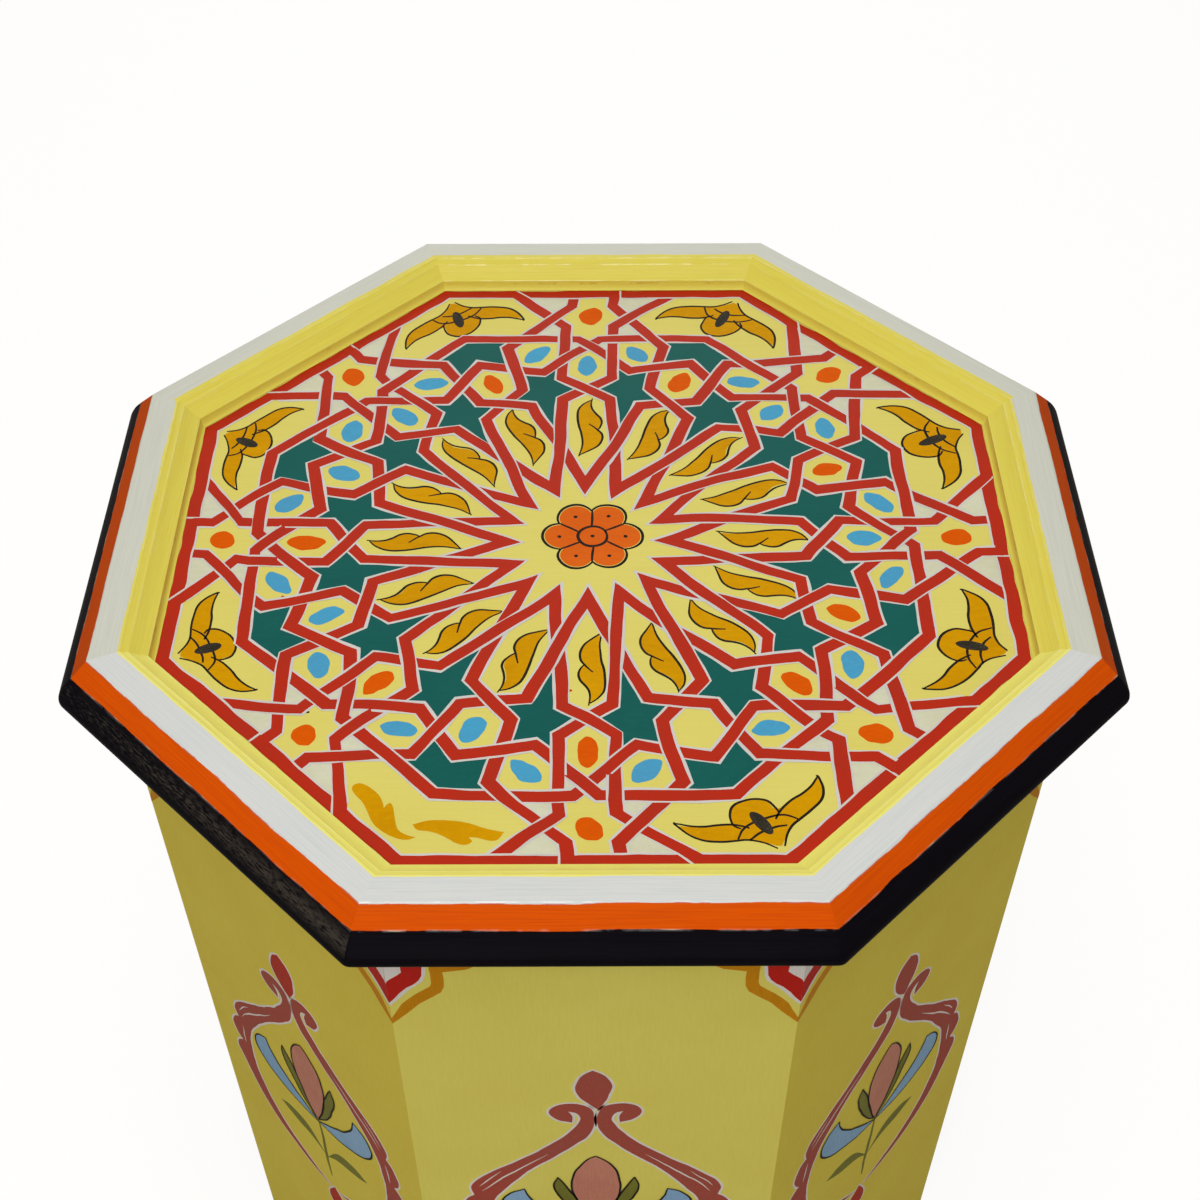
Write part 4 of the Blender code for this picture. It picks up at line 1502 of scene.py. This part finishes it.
arm_first = [
    (-58.8, 254.6), (-60.2, 247.0), (-57.4, 240.0), (-52.6, 234.4), (-44.0, 226.4), (-33.6, 217.4),
    (-24.6, 208.0), (-17.0, 199.6), (-11.0, 190.6), (-7.6, 183.4), (-7.3, 178.6), (-9.2, 175.0),
    (-12.6, 173.4),
]
arm_slit = [(-12.6, 173.4), (-11.4, 175.8), (-10.6, 178.8), (-10.7, 183.6)]
arm = sharp_outline(arm_upper, arm_lower, arm_third, arm_second, arm_first, arm_slit)
drop_side = [(0.0, 366.0), (-6.4, 378.0), (-6.0, 388.0), (0.0, 397.0)]
drop = sharp_outline(drop_side, flipped(drop_side)[::-1])
scrolls, scroll_lines, buds, drops = Motif(), Motif(), Motif(), Motif()
for outline, motif in ((bud, buds), (arm, scrolls), (flipped(arm), scrolls), (drop, drops)):
    placed = panel_points(outline)
    scroll_lines.area(widened(placed, PALE_LINE), PANEL_BASE)
    motif.area(placed, PANEL_BASE + PANEL_COAT)
for name, motif, paint, copies, first in (
    ("scroll_lines", scroll_lines, panel_white, SIDES, 0.0),
    ("scrolls", scrolls, panel_red, SIDES, 0.0),
    ("buds_brown", buds, panel_red, 4, 0.0),
    ("buds_red", buds, bud_red, 4, STRAIGHT),
    ("drops", drops, bud_red, SIDES, 0.0),
):
    lay_paint(name, motif, paint, PANELS, PANEL_COAT, copies, first)
veins = Motif()
for line, width in (
    ([(-23.0, 214.0), (-36.0, 228.0), (-48.0, 241.0), (-55.0, 251.0)], 1.0),
    ([(-45.0, 231.0), (-52.0, 239.5), (-56.0, 246.0)], 0.7),
    ([(-57.0, 262.0), (-58.0, 272.0), (-58.6, 280.0)], 0.9),
):
    for half in (line, flipped(line)):
        brush_line(veins, panel_points(smooth(half)), width * MM, PANEL_BASE + 2 * PANEL_COAT, 0.9)
lay_paint("scroll_veins", veins, panel_white, PANELS, 0.4 * PANEL_COAT)

# %% [markdown]
# The flower stands between the scrolls: a pink heart petal, an olive blade and a broad blue petal on either
# side, all with a dark line, on a stem with a pair of leaves.

# %% Flower
FLOWER_BASE = 288.0
WING_BASE = FLOWER_BASE + 3
heart_edge = [
    (0, FLOWER_BASE), (-6.4, 274), (-10.6, 257), (-11.6, 243),
    (-10.2, 232), (-7.6, 225.2), (-4.0, 219.6), (0, 215.8),
]
blade_outer = [(-1, FLOWER_BASE), (-10, 276), (-17.5, 258), (-20.4, 246), (-18.8, 236.6)]
blade_inner = [(-18.8, 236.6), (-14.5, 246), (-11, 256), (-6, 274), (-1, FLOWER_BASE)]
wing_outer = [
    (0, WING_BASE), (-17, 290), (-34, 283.4), (-43.4, 274.4),
    (-46.4, 266.6), (-45.4, 258.8), (-41, 252.2), (-34.6, 248.6),
]
wing_inner = [(-34.6, 248.6), (-33, 256), (-29.4, 263.4), (-22.4, 272.6), (-12, 282), (0, WING_BASE)]
flower = (
    ("blue_petals", panel_blue, ((wing_outer, wing_inner), (flipped(wing_outer), flipped(wing_inner)))),
    ("olive_petals", panel_olive, ((blade_outer, blade_inner), (flipped(blade_outer), flipped(blade_inner)))),
    ("heart_petals", panel_pink, ((heart_edge, flipped(heart_edge)[::-1]),)),
)
flower_ink = Motif()
lift = PANEL_BASE + 2 * PANEL_COAT
for name, paint, petals in flower:
    motif = Motif()
    for edges in petals:
        motif.area(panel_points(sharp_outline(*edges)), lift)
        for edge in edges:
            brush_line(flower_ink, panel_points(smooth(edge)), 1.1 * MM, PANEL_BASE + 6 * PANEL_COAT, 0.4)
    lay_paint(name, motif, paint, PANELS, PANEL_COAT)
    lift += PANEL_COAT
lay_paint("flower_ink", flower_ink, ink_black, PANELS, 0.4 * PANEL_COAT)
stem = Motif()
stem_line = [(0, FLOWER_BASE - 1), (0.6, 310), (-0.6, 334), (0, 352)]
brush_line(stem, panel_points(smooth(stem_line)), 2.6 * MM, PANEL_BASE)
stem_leaf = sharp_outline(
    [(0.0, 330.0), (-10.0, 322.0), (-24.0, 318.0), (-36.0, 312.0)],
    [(-36.0, 312.0), (-26.0, 308.0), (-12.0, 312.0), (0.0, 330.0)],
)
for outline in (stem_leaf, flipped(stem_leaf)):
    stem.area(panel_points(outline), PANEL_BASE)
lay_paint("flower_stem", stem, panel_olive, PANELS, PANEL_COAT)

# %% [markdown]
# The swags hang over the corners. Each panel has one half at either edge, so a half is drawn from the edge
# inwards, and its mirror image meets it round the corner: an ochre line, a gap of yellow, a white line, a
# red band and a white middle.

# %% Corner swags and arch line
HIDDEN_TOP = (RIM_TOP - BODY_TOP) / MM + 1.0
FINE_EDGE = {"Edge wobble": 0.8 * MM}
ARCH_LINE_GAP = 8.0 * MM
ARCH_LINE_WIDTH = 3.4 * MM
ARCH_LINE_FOOT = 4.0 * MM


def from_edge(points):
    """An outline measured inwards from the panel's edge, placed at both of its edges."""
    return [panel_points([(side * (EDGE_ACROSS - p[0]), p[1]) for p in points]) for side in (-1, 1)]


white_edge = [
    (17.0, 56.0), (16.4, 62.0), (15.2, 66.2), (12.6, 69.0),
    (9.4, 72.4), (5.8, 77.3), (3.0, 81.2), (0.0, 84.8),
]
red_edge = [
    (15.4, 56.0), (14.9, 62.4), (13.4, 65.8), (11.2, 68.6),
    (8.1, 71.1), (4.9, 75.1), (2.4, 79.2), (0.0, 82.3),
]
patch_edge = [(6.5, 56.0), (6.7, 59.6), (4.6, 62.0), (1.9, 64.5), (0.5, 66.0), (0.0, 67.6)]
ochre_band = [
    (0.0, 98.5), (6.4, 91.0), (12.4, 83.0), (18.2, 78.0), (21.9, 74.5), (23.4, 70.4), (23.8, 64.8),
    (23.5, 59.8), (33.0, 58.0), (41.0, 53.0), (45.0, 44.0), (45.0, HIDDEN_TOP), (40.0, HIDDEN_TOP),
    (38.0, 44.0), (30.0, 51.0), (19.0, 53.0), (18.2, 57.0), (18.5, 60.4), (18.4, 67.9), (17.6, 70.4),
    (15.1, 72.6), (11.2, 76.1), (7.3, 80.4), (4.9, 83.6), (3.1, 87.9), (0.0, 94.6),
]
lift = PANEL_BASE
for name, boundary, paint in (
    ("swag_lines", white_edge, panel_white),
    ("swag_red", red_edge, swag_paint),
    ("swag_patches", patch_edge, panel_white),
):
    half = [(0.0, HIDDEN_TOP), (boundary[0][0], HIDDEN_TOP), *boundary]
    lay_paint(name, areas(lift, *from_edge(half)), paint, PANELS, PANEL_COAT, **FINE_EDGE)
    lift += PANEL_COAT
swag_ochre = areas(PANEL_BASE, *from_edge(ochre_band))
arch_line = arch_curve(ARCH_LINE_GAP)
feet = [Vector((point.x, ARCH_LINE_FOOT)) for point in (arch_line[0], arch_line[-1])]
brush_line(swag_ochre, [feet[0], *arch_line, feet[1]], ARCH_LINE_WIDTH, PANEL_BASE, 0.2)
lay_paint("swag_ochre", swag_ochre, panel_ochre, PANELS, PANEL_COAT, **FINE_EDGE)

# %% [markdown]
# ## Inside the body
#
# Under the board the table is bare carpentry: glue blocks in the corners and cleats that carry the board.
# Their shapes in the model are right, so they only get wood. A cleat runs level along its side and a block
# stands upright, so each has its grain along its own length. The screws are zinc plated steel.

# %% Inner pieces
def plated_steel(name):
    """Zinc plated steel: a dull bluish metal with a fine, uneven crystal bloom."""
    material, tree, shader, add = new_material(name)
    place = add("ShaderNodeTexCoord").outputs["Object"]
    bloom = add(NOISE, {"Vector": place, "Scale": 1 / (0.6 * MM), "Detail": 3.0})
    tone = add(MIX, (bloom, colour("#A9ABA9"), colour("#C7C8C4")), data_type="RGBA")
    dull = add(MAP_RANGE, {"Value": bloom, "To Min": 0.28, "To Max": 0.48})
    set_inputs(tree, shader, {"Base Color": tone, "Roughness": dull, "Metallic": 1.0})
    return material


zinc = plated_steel("zinc_plated_steel")
inner_finishes = (("corner_block_", upright_pine), ("top_cleat_", level_pine), ("top_screw_", zinc))
for prefix, finish in inner_finishes:
    for number in range(1, SIDES + 1):
        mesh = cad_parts[prefix + str(number)].data
        mesh.materials.clear()
        mesh.materials.append(finish)
    print(prefix + "1 to", SIDES, "in", finish.name)
